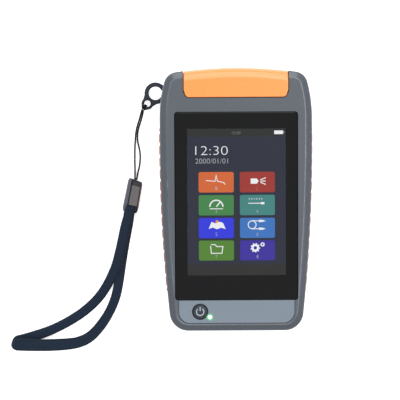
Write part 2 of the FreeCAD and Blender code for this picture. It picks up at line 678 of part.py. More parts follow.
b = new_body("mid_frame")
s = new_sketch(b, "mf_plate", z=30.8)
chain(s, round_rect_geo(-27.9, -48.0, 27.9, 41.2, 2.0))
pad(b, s, 0.8)
s = new_sketch(b, "mf_openings", z=31.6)
chain(s, round_rect_geo(-16.0, -30.0, 16.0, -4.0, 2.0))
chain(s, round_rect_geo(-16.0, 2.0, 16.0, 28.0, 2.0))
pocket(b, s, 1.2)

# ---------------------------------------------------------------------------
# Key panel, power button and status lamp
# ---------------------------------------------------------------------------
b = new_body("key_panel")
s = new_sketch(b, "kp_plate", z="dims.face_level - dims.panel_recess")
pw = D["panel_width"] / 2
chain(s, round_rect_geo(-pw, -62.1, pw, -50.55, 5.8, lower_only=True))
pad(b, s, "dims.panel_thick")
s = new_sketch(b, "kp_button_hole", x="dims.button_x", y="dims.button_y", z="dims.face_level")
circles(s, [(0, 0)], "dims.button_bore")
pocket(b, s, 2.0)
s = new_sketch(b, "kp_lamp_hole", x="dims.lamp_x", y="dims.lamp_y", z="dims.face_level")
circles(s, [(0, 0)], "dims.pipe_radius")
pocket(b, s, 2.0)
round_edges(b, lambda e, m, ends: flat_at(34.9)(e, m, ends) and not (
    math.hypot(m.x - D["button_x"], m.y - D["button_y"]) < 5.5 or math.hypot(m.x - D["lamp_x"], m.y - D["lamp_y"]) < 1.5),
    0.25, "kp_edge", kind="PartDesign::Chamfer")

# the cap slides in the bore; a flange under the face keeps it in
b = new_body("power_button")
s = new_sketch(b, "pb_half", role="XZ_Plane", x="dims.button_x", z="0 - dims.button_y")
rb = D["button_radius"]
poly(s, [(0, 30.3), (4.5, 30.3), (4.5, 31.3), (rb, 31.3), (rb, 34.8), (rb - 0.45, 35.25), (rb - 1.0, 35.25), (0, 34.95)])
f = b.newObject("PartDesign::Revolution", "pb_turn")
f.Profile = s
f.ReferenceAxis = (s, ["V_Axis"])
f.Angle = 360
doc.recompute()

keep(rod("pl_pin", 1.7, 1.9, "dims.button_x", "dims.button_y", 28.4), "switch_plunger")
sw = block("sw_body", "dims.button_x - 3.0", "dims.button_y - 3.0", "dims.board_level + dims.board_thick", 6.0, 6.0, 3.5)
keep(cut("sw_cut", sw, rod("sw_bore", 2.0, 3.0, "dims.button_x", "dims.button_y", 27.6)), "tact_switch")
pipe = fuse("lp_fuse", [rod("lp_low", 0.8, 5.0, "dims.lamp_x", "dims.lamp_y", 26.6),
                        rod("lp_high", "dims.pipe_radius", 3.4, "dims.lamp_x", "dims.lamp_y", 31.6)])
keep(pipe, "light_pipe")
keep(block("led_chip", "dims.lamp_x - 0.8", "dims.lamp_y - 0.6", "dims.board_level + dims.board_thick", 1.6, 1.2, 0.8), "status_led")

# ---------------------------------------------------------------------------
# Electronics: board, parts on it, display ribbon
# ---------------------------------------------------------------------------
b = new_body("main_board")
s = new_sketch(b, "mb_plate", z="dims.board_level")
poly(s, [(-21.6, -60.5), (21.6, -60.5), (21.6, -52.8), (26.8, -49.5), (26.8, 40.0), (21.0, 46.0), (21.0, 51.4),
         (-21.0, 51.4), (-21.0, 46.0), (-26.8, 40.0), (-26.8, -49.5), (-21.6, -52.8)])
pad(b, s, "dims.board_thick")
STAND = [(24.2, 35.0), (-24.2, 35.0), (24.2, -40.0), (-24.2, -40.0)]
s = new_sketch(b, "mb_holes", z="dims.board_level + dims.board_thick")
circles(s, STAND, 1.3)
pocket(b, s, "dims.board_thick + 0.5")

BT = 25.6
chips = []
for i, (x, y, w, h, t) in enumerate([(-15, -30, 10, 14, 1.2), (-3, -31, 8, 8, 1.0), (10, -33, 12, 10, 1.2), (-20, -46, 6, 6, 2.2),
                                     (-20, 14, 12, 12, 1.4), (2, 12, 9, 9, 1.0), (14, 8, 6, 8, 1.6), (-8, 30, 14, 8, 1.3),
                                     (-18, 42, 9, 5, 1.8), (2, 40, 5, 5, 2.0), (18, -46, 5, 4, 2.4), (20, 22, 4, 6, 1.5)]):
    chips.append(block("chip%d" % (i + 1), x - w / 2, y - h / 2, BT, w, h, t))
keep(group("chips", chips), "board_chips")
can = block("can_outer", -13.0, -18.0, BT, 26.0, 22.0, 2.4)
keep(cut("can_cut", can, block("can_inner", -12.7, -17.7, BT - 0.2, 25.4, 21.4, 2.3)), "shield_can")
keep(rod("bz", 4.5, 3.0, 12.0, -54.5, BT), "buzzer")
keep(group("standoffs", [cut("st_cut%d" % i, rod("st_out%d" % i, 2.0, 5.2, x, y, BT), rod("st_in%d" % i, 1.0, 6.0, x, y, BT - 0.3))
                         for i, (x, y) in enumerate(STAND)]), "board_standoffs")
keep(group("board_scr", [fuse("bs_f%d" % i, [rod("bs_h%d" % i, 1.9, 1.2, x, y, 22.8), rod("bs_s%d" % i, 1.0, 5.2, x, y, 23.9)])
                         for i, (x, y) in enumerate(STAND)]), "board_screws")

# ribbon of the display: out of its lower end, round a half turn, into its connector
keep(block("fpc", -11.0, -45.6, BT, 22.0, 4.0, 1.0), "ribbon_connector")
b = new_body("display_ribbon")
s = new_sketch(b, "rb_path", role="YZ_Plane")
t = 0.15
z1, z0 = 32.6, 26.1
rr = (z1 - z0) / 2
yc = -46.3


def ribbon(r):
    return r


geo = [(line((-45.5, z1 + t), (yc, z1 + t)), None)]
geo = [(line((yc, z1 + t), (-45.5, z1 + t)), None), (line((-45.5, z1 + t), (-45.5, z1 - t)), None),
       (line((-45.5, z1 - t), (yc, z1 - t)), None)]
s.addGeometry([line((-45.6, z1 + t), (yc, z1 + t)),
               Part.ArcOfCircle(Part.Circle(V(yc, (z1 + z0) / 2, 0), V(0, 0, 1), rr + t), math.pi / 2, 3 * math.pi / 2),
               line((yc, z0 - t), (-45.6, z0 - t)), line((-45.6, z0 - t), (-45.6, z0 + t)),
               line((-45.6, z0 + t), (yc, z0 + t)),
               Part.ArcOfCircle(Part.Circle(V(yc, (z1 + z0) / 2, 0), V(0, 0, 1), rr - t), math.pi / 2, 3 * math.pi / 2),
               line((yc, z1 - t), (-45.6, z1 - t)), line((-45.6, z1 - t), (-45.6, z1 + t))], False)
for a_, pa, b_, pb in ((0, 2, 1, 1), (1, 2, 2, 1), (2, 2, 3, 1), (3, 2, 4, 1), (4, 2, 5, 2), (5, 1, 6, 1), (6, 2, 7, 1), (7, 2, 0, 1)):
    s.addConstraint(Sketcher.Constraint("Coincident", a_, pa, b_, pb))
pad(b, s, 18.0, mid=True)

# ---------------------------------------------------------------------------
# Battery pack, its foam, leads and plug
# ---------------------------------------------------------------------------
b = new_body("battery_pack")
s = new_sketch(b, "bp_section", role="XZ_Plane", y=12.8, z=61.5)
r = D["cell_radius"]
chain(s, [(line((-9.3, -r), (9.3, -r)), None), (arc((9.3, 0), r, (9.3, -r), (9.3, r)), "dims.cell_radius"),
          (line((9.3, r), (-9.3, r)), None), (arc((-9.3, 0), r, (-9.3, r), (-9.3, -r)), "dims.cell_radius")])
pad(b, s, "dims.pack_length", reverse=True)
keep(group("bf", [block("bf1", -12.0, -56.0, 3.0, 24.0, 8.0, 0.6), block("bf2", -12.0, -8.0, 3.0, 24.0, 8.0, 0.6),
                  block("bf3", -9.0, -50.0, 22.0, 18.0, 6.0, 2.0), block("bf4", -9.0, -8.0, 22.0, 18.0, 6.0, 2.0)]), "battery_foam")


def tube(name, pts, radius):
    """Round tube along straight runs joined by tangent arcs, each as large as its runs allow."""
    P = [V(*p) for p in pts]
    runs = [(P[i + 1] - P[i]).Length for i in range(len(P) - 1)]
    edges, cur, length, radii = [], P[0], 0.0, []
    for i in range(1, len(P) - 1):
        u = (P[i] - P[i - 1]).normalize()
        w = (P[i + 1] - P[i]).normalize()
        turn = u.getAngle(w)
        back = 0.45 * min(runs[i - 1], runs[i])
        rad = back / math.tan(turn / 2)
        radii.append(rad)
        a0 = P[i] - u * back
        a1 = P[i] + w * back
        bis = (w - u).normalize()
        centre = P[i] + bis * (rad / math.cos(turn / 2))
        mid = centre - bis * rad
        edges.append(Part.LineSegment(cur, a0).toShape())
        edges.append(Part.Arc(a0, mid, a1).toShape())
        length += (a0 - cur).Length + rad * turn
        cur = a1
    edges.append(Part.LineSegment(cur, P[-1]).toShape())
    length += (P[-1] - cur).Length
    wire = Part.Wire(edges)
    prof = Part.Wire([Part.Circle(P[0], (P[1] - P[0]).normalize(), radius).toShape()])
    sweep = wire.makePipeShell([prof], True, False)
    want = math.pi * radius * radius * length
    print("%s: length %.1f mm, volume ratio %.4f, runs %.1f to %.1f mm, smallest radii %s" % (
        name, length, sweep.Volume / want, min(runs), max(runs), ["%.1f" % q for q in sorted(radii)[:4]]))
    return sweep


def feature(label, shape):
    o = doc.addObject("Part::Feature", label + "_shape")
    o.Shape = shape
    return keep(o, label)


leads = [tube("battery lead", [(x, 6.5, 17.5), (x, 12.0, 17.5), (x, 12.0, 22.0)], 0.6) for x in (-1.3, 1.3)]
feature("battery_leads", Part.makeCompound(leads))
keep(block("bplug", -3.5, 9.0, 22.0, 7.0, 6.0, 2.0), "battery_socket")

# ---------------------------------------------------------------------------
# Optics: measuring module, fibre to the test port, port panel and adapters
# ---------------------------------------------------------------------------
keep(block("mfoam", -22.0, 9.0, 3.0, 44.0, 26.0, 1.0), "module_foam")
mod = block("mod_box", "0 - dims.module_width * 0.5", 8.0, 4.0, "dims.module_width", "dims.module_depth", "dims.module_height")
keep(fuse("mod_fuse", [mod, block("mod_exit", 5.2, 30.0, 13.3, 4.6, 5.6, 5.4)]), "optical_module")
b = new_body("fibre_guide")
s = new_sketch(b, "fg_plate", z=13.4)
chain(s, round_rect_geo(-19.0, 14.0, 4.5, 35.6, 2.0))
pad(b, s, 1.0)
s = new_sketch(b, "fg_hub", z=14.0)
circles(s, [(-4.0, 30.0)], 4.0)
pad(b, s, 4.5)
fib = tube("fibre pigtail", [(-15.5, 46.5, 20.1), (-15.5, 40.0, 20.1), (-15.5, 33.0, 18.2), (-15.4, 23.0, 17.0), (-9.0, 18.4, 17.0),
                             (0.5, 18.4, 17.0), (7.5, 22.5, 17.0), (7.5, 30.0, 17.0)], 0.45)
feature("fibre_pigtail", fib)

b = new_body("port_panel")
s = new_sketch(b, "pp_plate", role="XZ_Plane", z=-53.7)
chain(s, round_rect_geo(-24.0, 8.6, 24.0, 30.8, 0.8))
pad(b, s, 1.8, reverse=False)
pp_test = b.Tip.Shape.BoundBox
if pp_test.YMax > 53.8:
    b.Tip.Reversed = True
    doc.recompute()
s = new_sketch(b, "pp_holes", role="XZ_Plane", z=-54.5)
circles(s, [(x, D["port_z"]) for x in (-15.5, 0.0, 15.5)], 3.95)
circles(s, [(-22.8, 27.5), (22.8, 27.5), (-22.8, 11.5), (22.8, 11.5)], 0.9)
chain(s, round_rect_geo(14.0 - 4.6, 25.5, 14.0 + 4.6, 28.9, 0.25))
pocket(b, s, 4.0, reverse=True)
keep(group("pscr", [fuse("ps_f%d" % i, [rod("ps_h%d" % i, 1.35, 0.9, x, 53.7, z, "y"), rod("ps_s%d" % i, 0.8, 3.2, x, 50.6, z, "y")])
                    for i, (x, z) in enumerate([(-22.8, 27.5), (22.8, 27.5), (-22.8, 11.5), (22.8, 11.5)])]), "panel_screws")

# test port: threaded barrel with a key slot, and the ceramic sleeve that lines up two ferrules
X1 = "0 - dims.port_pitch"
outer = fuse("oa_outer", [rod("oa_flange", "dims.flange_radius", "dims.flange_thick", X1, 53.7, "dims.port_z", "y"),
                          rod("oa_rear", 3.9, 7.3, X1, 46.5, "dims.port_z", "y"),
                          rod("oa_barrel", "dims.fc_barrel", 7.0, X1, 55.0, "dims.port_z", "y")])
inner = fuse("oa_inner", [rod("oa_bore", "dims.fc_bore", 6.0, X1, 56.5, "dims.port_z", "y"),
                          rod("oa_hole", "dims.sleeve_outer", 12.0, X1, 47.5, "dims.port_z", "y"),
                          rod("oa_fibre", 0.5, 3.0, X1, 45.5, "dims.port_z", "y"),
                          block("oa_slot", "0 - dims.port_pitch - 1.0", 58.0, "dims.port_z + 2.0", 2.0, 6.0, 4.0)])
keep(cut("oa_cut", outer, inner), "test_port_adapter")
keep(cut("sl_cut", rod("sl_outer", "dims.sleeve_outer", 12.5, X1, 47.5, "dims.port_z", "y"),
         rod("sl_inner", "dims.sleeve_bore", 14.0, X1, 47.0, "dims.port_z", "y")), "ferrule_sleeve")

outer = fuse("pm_outer", [rod("pm_flange", "dims.flange_radius", "dims.flange_thick", 0.0, 53.7, "dims.port_z", "y"),
                          rod("pm_rear", 3.9, 3.2, 0.0, 50.6, "dims.port_z", "y"),
                          rod("pm_barrel", 4.9, 6.0, 0.0, 55.0, "dims.port_z", "y")])
keep(cut("pm_cut", outer, rod("pm_bore", "dims.ferrule_bore", 12.0, 0.0, 50.0, "dims.port_z", "y")), "power_meter_adapter")
outer = fuse("vf_outer", [rod("vf_flange", "dims.flange_radius", "dims.flange_thick", "dims.port_pitch", 53.7, "dims.port_z", "y"),
                          rod("vf_rear", 3.9, 3.2, "dims.port_pitch", 50.6, "dims.port_z", "y"),
                          rod("vf_barrel", 3.6, 6.0, "dims.port_pitch", 55.0, "dims.port_z", "y")])
keep(cut("vf_cut", outer, rod("vf_bore", "dims.ferrule_bore", 12.0, "dims.port_pitch", 50.0, "dims.port_z", "y")), "fault_finder_adapter")
pd = fuse("pd_fuse", [rod("pd_can", 2.7, 3.6, 0.0, 47.0, "dims.port_z", "y"), rod("pd_rim", 3.0, 0.6, 0.0, 46.8, "dims.port_z", "y")] +
          [rod("pd_leg%d" % i, 0.23, 4.2, x, 42.8, z, "y") for i, (x, z) in enumerate([(-1.2, 20.1), (1.2, 20.1), (0.0, 21.3)])])
keep(pd, "photodiode")
keep(fuse("vl_fuse", [rod("vl_tube", 3.2, 11.6, "dims.port_pitch", 39.0, "dims.port_z", "y"),
                      rod("vl_tail", 2.4, 2.4, "dims.port_pitch", 36.8, "dims.port_z", "y")]), "fault_finder_laser")

us = block("us_outer", 14.0 - 4.45, 46.4, 25.6, 8.9, 7.5, 3.2)
us_cut = cut("us_cut", us, block("us_inner", 14.0 - 4.15, 47.6, 25.95, 8.3, 7.0, 2.5))
keep(fuse("us_fuse", [us_cut, block("us_tongue", 14.0 - 3.35, 47.4, 26.85, 6.7, 5.4, 0.7)]), "usb_socket")

# ---------------------------------------------------------------------------
# Fasteners, feet, posts
# ---------------------------------------------------------------------------
scr, ins = [], []
for i, (x, y) in enumerate(SCREWS):
    body_ = fuse("cs_f%d" % i, [rod("cs_h%d" % i, "dims.head_radius", 1.6, x, y, 4.4), rod("cs_s%d" % i, "dims.screw_radius", 17.0, x, y, 5.9)])
    slot = fuse("cs_x%d" % i, [block("cs_a%d" % i, x - 1.3, y - 0.3, 4.2, 2.6, 0.6, 1.1), block("cs_b%d" % i, x - 0.3, y - 1.3, 4.2, 0.6, 2.6, 1.1)])
    scr.append(cut("cs_c%d" % i, body_, slot))
    ins.append(cut("in_c%d" % i, rod("in_o%d" % i, "dims.insert_radius", "dims.insert_length", x, y, FRONT_LOW),
                   rod("in_i%d" % i, "dims.screw_radius", 7.0, x, y, FRONT_LOW - 0.5)))
keep(group("case_scr", scr), "case_screws")
keep(group("case_ins", ins), "threaded_inserts")
b = new_body("rear_feet")
b.AllowCompound = True
s = new_sketch(b, "rf_pads", z=0.0)
for (x, y) in FEET:
    w, h = D["foot_width"] / 2, D["foot_depth"] / 2
    chain(s, round_rect_geo(x - w, y - h, x + w, y + h, 2.5))
pad(b, s, "dims.foot_thick")
round_edges(b, flat_at(0.0), 0.5, "rf_round")
keep(rod("post", "dims.post_radius", 6.6, POST[0], POST[1], 3.1), "strap_post")
keep(rod("hpin", "dims.pin_radius", 63.6, -30.1, "dims.hinge_y", "dims.hinge_z", "x"), "hinge_pin")

# ---------------------------------------------------------------------------
# Dust cover: a hood with a front flap, hinged at its lower rear edge
# ---------------------------------------------------------------------------
b = new_body("dust_cover")
s = new_sketch(b, "dc_block", z="dims.hinge_z")
c0, c1, cr = 25.6, D["cover_half"], 2.2


def crown_y(x, inset=0.0):
    rad = D["crown"] - inset
    return C_CROWN[1] + math.sqrt(rad * rad - x * x)


geo = [(line((-c0 + cr, 51.25), (c0 - cr, 51.25)), None),
       (arc((c0 - cr, 51.25 + cr), cr, (c0 - cr, 51.25), (c0, 51.25 + cr)), None),
       (line((c0, 51.25 + cr), (c1, 54.6)), None), (line((c1, 54.6), (c1, crown_y(c1))), None),
       (arc(C_CROWN, D["crown"], (c1, crown_y(c1)), (-c1, crown_y(c1))), "dims.crown"),
       (line((-c1, crown_y(c1)), (-c1, 54.6)), None), (line((-c1, 54.6), (-c0, 51.25 + cr)), None),
       (arc((-c0 + cr, 51.25 + cr), cr, (-c0, 51.25 + cr), (-c0 + cr, 51.25)), None)]
chain(s, geo)
pad(b, s, "dims.cover_length_up")
TOP = D["hinge_z"] + D["cover_length_up"]
round_edges(b, lambda e, m, ends: flat_at(TOP)(e, m, ends) and m.y > 65.0, 5.5, "dc_brow")
round_edges(b, lambda e, m, ends: flat_at(TOP)(e, m, ends) and m.y < 60.5, 0.5, "dc_flap_edge")
round_edges(b, lambda e, m, ends: flat_at(D["hinge_z"])(e, m, ends) and m.y > 65.0, 1.2, "dc_heel")
s = new_sketch(b, "dc_hollow", z="dims.hinge_z")
ci = 24.5
chain(s, [(line((-ci, 45.0), (ci, 45.0)), None), (line((ci, 45.0), (ci, crown_y(ci, 2.2))), None),
          (arc(C_CROWN, D["crown"] - 2.2, (ci, crown_y(ci, 2.2)), (-ci, crown_y(ci, 2.2))), "dims.crown - 2.2"),
          (line((-ci, crown_y(ci, 2.2)), (-ci, 45.0)), None)])
pocket(b, s, 27.9, reverse=True)
s = new_sketch(b, "dc_cheek_relief", z="dims.hinge_z")
poly(s, [(-30.0, 45.0), (30.0, 45.0), (30.0, 54.1), (-30.0, 54.1)])
pocket(b, s, 27.9, reverse=True)
s = new_sketch(b, "dc_barrel", role="YZ_Plane", x="dims.hinge_y", y="dims.hinge_z")
circles(s, [(0, 0)], "dims.barrel_radius")
pad(b, s, "dims.cover_half + dims.cover_half", mid=True)
s = new_sketch(b, "dc_pin_bore", role="YZ_Plane", x="dims.hinge_y", y="dims.hinge_z")
circles(s, [(0, 0)], "dims.pin_bore")
pocket(b, s, 60.0, mid=True)

# ---------------------------------------------------------------------------
# Wrist strap: figure-eight ring on the post, doubled string, buckle, flat band
# ---------------------------------------------------------------------------
RC, SC = (-41.2, 54.6), (-45.4, 49.25)
NK = (-36.2, 54.6)


def hull2(a, ra, b2, rb2):
    """Outline of two discs and their outer tangents, as a face."""
    dx, dy = b2[0] - a[0], b2[1] - a[1]
    dist = math.hypot(dx, dy)
    base = math.atan2(dy, dx)
    off = math.acos((ra - rb2) / dist)
    pa = [(a[0] + ra * math.cos(base + k * off), a[1] + ra * math.sin(base + k * off)) for k in (1, -1)]
    pb = [(b2[0] + rb2 * math.cos(base + k * off), b2[1] + rb2 * math.sin(base + k * off)) for k in (1, -1)]
    far_a = (a[0] - ra * math.cos(base), a[1] - ra * math.sin(base))
    far_b = (b2[0] + rb2 * math.cos(base), b2[1] + rb2 * math.sin(base))
    z = D["ring_low"]
    e = [Part.Arc(V(pa[0][0], pa[0][1], z), V(far_a[0], far_a[1], z), V(pa[1][0], pa[1][1], z)).toShape(),
         Part.LineSegment(V(pa[1][0], pa[1][1], z), V(pb[1][0], pb[1][1], z)).toShape(),
         Part.Arc(V(pb[1][0], pb[1][1], z), V(far_b[0], far_b[1], z), V(pb[0][0], pb[0][1], z)).toShape(),
         Part.LineSegment(V(pb[0][0], pb[0][1], z), V(pa[0][0], pa[0][1], z)).toShape()]
    return Part.Face(Part.Wire(e))


def disc(c, r, z, h_):
    return Part.makeCylinder(r, h_, V(c[0], c[1], z))


zr, hr = D["ring_low"], D["ring_thick"]
solid = hull2(RC, D["ring_outer"], NK, 3.1).extrude(V(0, 0, hr))
# web that fills the two notches between the loops
mx, my = (RC[0] + SC[0]) / 2, (RC[1] + SC[1]) / 2
ux, uy = (SC[0] - RC[0]), (SC[1] - RC[1])
ul = math.hypot(ux, uy)
ux, uy = ux / ul, uy / ul
px_, py_ = -uy, ux
web = [(RC[0] + ux * 3.6 + px_ * 4.2, RC[1] + uy * 3.6 + py_ * 4.2), (SC[0] + px_ * 2.95 - ux * 0.2, SC[1] + py_ * 2.95 - uy * 0.2),
       (SC[0] - px_ * 2.95 - ux * 0.2, SC[1] - py_ * 2.95 - uy * 0.2), (RC[0] + ux * 3.6 - px_ * 4.2, RC[1] + uy * 3.6 - py_ * 4.2)]
webf = Part.Face(Part.makePolygon([V(x, y, zr) for x, y in web + web[:1]])).extrude(V(0, 0, hr))
solid = solid.fuse([disc(SC, 3.15, zr, hr), webf])
hole = disc(RC, D["ring_inner"], zr - 1, hr + 2).fuse([disc(NK, 1.35, zr - 1, hr + 2),
                                                       Part.makeBox(RC[0] * -1 + NK[0], 2.7, hr + 2, V(RC[0], RC[1] - 1.35, zr - 1)),
                                                       disc(SC, 1.65, zr - 1, hr + 2)])
solid = solid.cut(hole).removeSplitter()
try:
    flat = [e for e in solid.Edges if abs(e.BoundBox.ZMax - e.BoundBox.ZMin) < 1e-6]
    rounded = solid.makeFillet(0.5, flat)
    if rounded.isValid() and rounded.Volume > 0.7 * solid.Volume:
        solid = rounded
    else:
        print("left square: strap_ring")
except Exception as err:
    print("left square: strap_ring", err)
feature("strap_ring", solid.Solids[0] if len(solid.Solids) == 1 else solid)

# hitch of the string round the small loop
an = math.radians(232)
kc = V(SC[0] + 2.4 * math.cos(an), SC[1] + 2.4 * math.sin(an), zr + hr / 2)
tang = V(-math.sin(an), math.cos(an), 0)
wraps = [Part.makeTorus(1.66, 0.38, kc + tang * k, tang) for k in (-0.42, 0.42)]
feature("strap_knot", Part.makeCompound(wraps))

# the strap's route, from the buckle round to the fold and back over itself
U = V(-0.1571, -0.9876, 0).normalize()
W = V(-U.y, U.x, 0)
BT0 = V(-52.35, 9.35, 0)
BL0 = BT0 + U * 17.3


def at(c, along, across, z):
    q = c + U * along + W * across
    return (q.x, q.y, z)


b = new_body("strap_buckle")
s = new_sketch(b, "sb_plan")
pts = [at(BT0, 0, -3.6, 0), at(BT0, 0, 3.6, 0), at(BL0, 0, 4.05, 0), at(BL0, 0, -4.05, 0)]
pts = [(p[0], p[1]) for p in pts]
area = sum(pts[i][0] * pts[(i + 1) % 4][1] - pts[(i + 1) % 4][0] * pts[i][1] for i in range(4))
poly(s, pts if area > 0 else pts[::-1])
pad(b, s, 6.2)
round_edges(b, lambda e, m, ends: len(ends) == 2 and abs(ends[0].z - ends[1].z) > 5, 1.3, "sb_corners")
round_edges(b, flat_at(6.2), 0.9, "sb_top_round")
round_edges(b, flat_at(0.0), 0.3, "sb_base_round")

STRING_A = [at(BT0, -0.12, 0.82, 3.0), (-51.0, 12.6, 2.1), (-50.0, 16.5, 0.9), (-49.5, 21.2, 0.6), (-49.9, 25.2, 0.6), (-51.1, 30.0, 0.9),
            (-50.85, 34.8, 1.9), (-49.83, 38.2, 3.0), (-48.37, 42.33, 4.5)]
STRING_B = [at(BT0, -0.12, -0.02, 3.0), (-52.3, 12.6, 2.0), (-52.45, 16.0, 0.9), (-52.5, 21.2, 0.6), (-52.45, 26.0, 0.7), (-52.1, 30.9, 1.0),
            (-51.65, 35.0, 1.9), (-50.63, 38.45, 3.0), (-49.15, 42.63, 4.5)]
END_A, END_B = (-47.57, 45.75, 5.55), (-48.23, 46.27, 5.55)
feature("strap_string_right", tube("string right", STRING_A + [END_A], D["string_radius"]))
feature("strap_string_left", tube("string left", STRING_B + [END_B], D["string_radius"]))

BAND = [at(BL0, 0.28, -0.3, 1.5), (-56.2, -13.6, 1.42), (-58.0, -22.5, 1.42), (-59.7, -33.1, 1.42), (-61.2, -43.7, 1.42),
        (-62.9, -52.6, 1.42), (-66.3, -60.6, 1.42), (-71.0, -67.9, 1.42), (-76.6, -74.0, 1.42), (-83.0, -77.0, 1.5),
        (-90.2, -77.7, 2.6), (-97.9, -77.8, 4.1), (-105.0, -77.6, 5.3), (-112.3, -77.3, 6.05), (-117.3, -77.0, 6.2),
        (-117.3, -76.6, 1.4), (-112.4, -75.15, 1.42), (-106.5, -73.3, 1.42), (-100.8, -71.5, 1.42), (-94.6, -69.0, 1.42),
        (-87.5, -65.3, 1.42), (-80.3, -60.7, 1.42), (-74.3, -55.5, 1.42), (-69.6, -49.9, 1.5), (-65.7, -43.0, 2.3),
        (-62.6, -36.3, 3.5), (-60.7, -29.5, 4.2), (-59.0, -22.2, 4.3), (-57.4, -14.6, 4.4), at(BL0, 0.28, -0.2, 4.5)]
feature("strap_band", tube("strap band", BAND, D["band_radius"]))

# ---------------------------------------------------------------------------
# Checks and export
# ---------------------------------------------------------------------------
doc.recompute()
bad = []
for o in doc.Objects:
    if "Invalid" in o.State or "Error" in o.State:
        bad.append("%s %s" % (o.Name, o.State))
for label, o in NODES.items():
    if o.Shape.isNull() or not o.Shape.isValid() or o.Shape.Volume <= 0 or not o.Shape.Solids:
        bad.append("shape " + label)
if bad:
    raise SystemExit("failed objects: " + "; ".join(bad))
for label, o in NODES.items():
    o.Shape.exportStep("parts/%s.step" % label)
    bb = o.Shape.BoundBox
    print("%-22s solids %2d  vol %9.1f  x %7.2f %7.2f  y %7.2f %7.2f  z %6.2f %6.2f" % (
        label, len(o.Shape.Solids), o.Shape.Volume, bb.XMin, bb.XMax, bb.YMin, bb.YMax, bb.ZMin, bb.ZMax))
print(len(NODES), "nodes")
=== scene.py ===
import bpy
import bmesh
import math
import random
from mathutils import Vector, Matrix


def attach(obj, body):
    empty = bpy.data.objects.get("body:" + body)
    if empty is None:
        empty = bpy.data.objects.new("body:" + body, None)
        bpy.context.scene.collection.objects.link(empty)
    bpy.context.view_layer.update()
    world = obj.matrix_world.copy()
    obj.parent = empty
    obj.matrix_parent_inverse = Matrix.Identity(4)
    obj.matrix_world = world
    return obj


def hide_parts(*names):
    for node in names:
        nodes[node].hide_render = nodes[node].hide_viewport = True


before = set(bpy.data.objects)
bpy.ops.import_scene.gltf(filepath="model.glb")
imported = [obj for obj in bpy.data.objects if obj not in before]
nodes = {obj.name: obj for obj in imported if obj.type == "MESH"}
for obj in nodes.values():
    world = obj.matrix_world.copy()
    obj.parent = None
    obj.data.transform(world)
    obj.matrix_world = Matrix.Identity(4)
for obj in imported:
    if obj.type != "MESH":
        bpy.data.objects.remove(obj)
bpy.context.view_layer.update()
scene = bpy.context.scene
MM = 0.001

# ---------------------------------------------------------------------------
# Camera: nearly straight above the screen
# ---------------------------------------------------------------------------
cam_data = bpy.data.cameras.new("camera")
cam = bpy.data.objects.new("camera", cam_data)
scene.collection.objects.link(cam)
tilt, roll, far = math.radians(2.63), math.radians(-0.3), 0.600
look = Vector((-18.19, 0.02, 35.0)) * MM
d = Vector((0.0, -math.sin(tilt), -math.cos(tilt)))
right = d.cross(Vector((0, 1, 0))).normalized()
up = right.cross(d)
r2 = right * math.cos(roll) + up * math.sin(roll)
u2 = up * math.cos(roll) - right * math.sin(roll)
m = Matrix((r2, u2, -d)).transposed().to_4x4()
m.translation = look - d * far
cam.matrix_world = m
cam_data.sensor_width = 36.0
cam_data.lens = 107.96
cam_data.clip_start = 0.01
cam_data.clip_end = 20.0
scene.camera = cam


# ---------------------------------------------------------------------------
# Colours and materials
# ---------------------------------------------------------------------------
def lin(c):
    """sRGB 0..255 to linear."""
    out = []
    for v in c[:3]:
        v = v / 255.0
        out.append(v / 12.92 if v <= 0.04045 else ((v + 0.055) / 1.055) ** 2.4)
    return (*out, 1.0)


class Mat:
    """A node material with short names for the nodes it makes."""

    def __init__(self, name):
        self.m = bpy.data.materials.new(name)
        self.m.use_nodes = True
        self.t = self.m.node_tree
        self.p = self.t.nodes["Principled BSDF"]
        self.n = 0

    def node(self, kind, **values):
        n = self.t.nodes.new(kind)
        n.location = (-220 * (1 + self.n // 6), -180 * (self.n % 6))
        self.n += 1
        for k, v in values.items():
            if k in n.inputs:
                n.inputs[k].default_value = v
            else:
                setattr(n, k, v)
        return n

    def link(self, a, b):
        self.t.links.new(a, b)

    def set(self, **values):
        for k, v in values.items():
            self.p.inputs[k.replace("_", " ")].default_value = v
        return self

    def coords(self, kind="Object"):
        return self.node("ShaderNodeTexCoord").outputs[kind]

    def noise(self, scale, detail=3.0, rough=0.55, vector=None):
        n = self.node("ShaderNodeTexNoise")
        n.inputs["Scale"].default_value = scale
        n.inputs["Detail"].default_value = detail
        n.inputs["Roughness"].default_value = rough
        self.link(vector or self.coords(), n.inputs["Vector"])
        return n.outputs["Fac"]

    def ramp(self, fac, stops):
        r = self.node("ShaderNodeValToRGB")
        e = r.color_ramp.elements
        e[0].position, e[0].color = stops[0]
        e[1].position, e[1].color = stops[-1]
        for pos, col in stops[1:-1]:
            x = e.new(pos)
            x.color = col
        self.link(fac, r.inputs["Fac"])
        return r.outputs["Color"]

    def remap(self, fac, lo, hi, from_lo=0.0, from_hi=1.0):
        r = self.node("ShaderNodeMapRange")
        r.inputs["From Min"].default_value = from_lo
        r.inputs["From Max"].default_value = from_hi
        r.inputs["To Min"].default_value = lo
        r.inputs["To Max"].default_value = hi
        self.link(fac, r.inputs["Value"])
        return r.outputs["Result"]

    def bump(self, height, strength=0.2, distance=0.0001, normal=None):
        b = self.node("ShaderNodeBump")
        b.inputs["Strength"].default_value = strength
        b.inputs["Distance"].default_value = distance
        self.link(height, b.inputs["Height"])
        if normal is not None:
            self.link(normal, b.inputs["Normal"])
        return b.outputs["Normal"]


def shade(c, k):
    return (c[0] * k, c[1] * k, c[2] * k, 1.0)


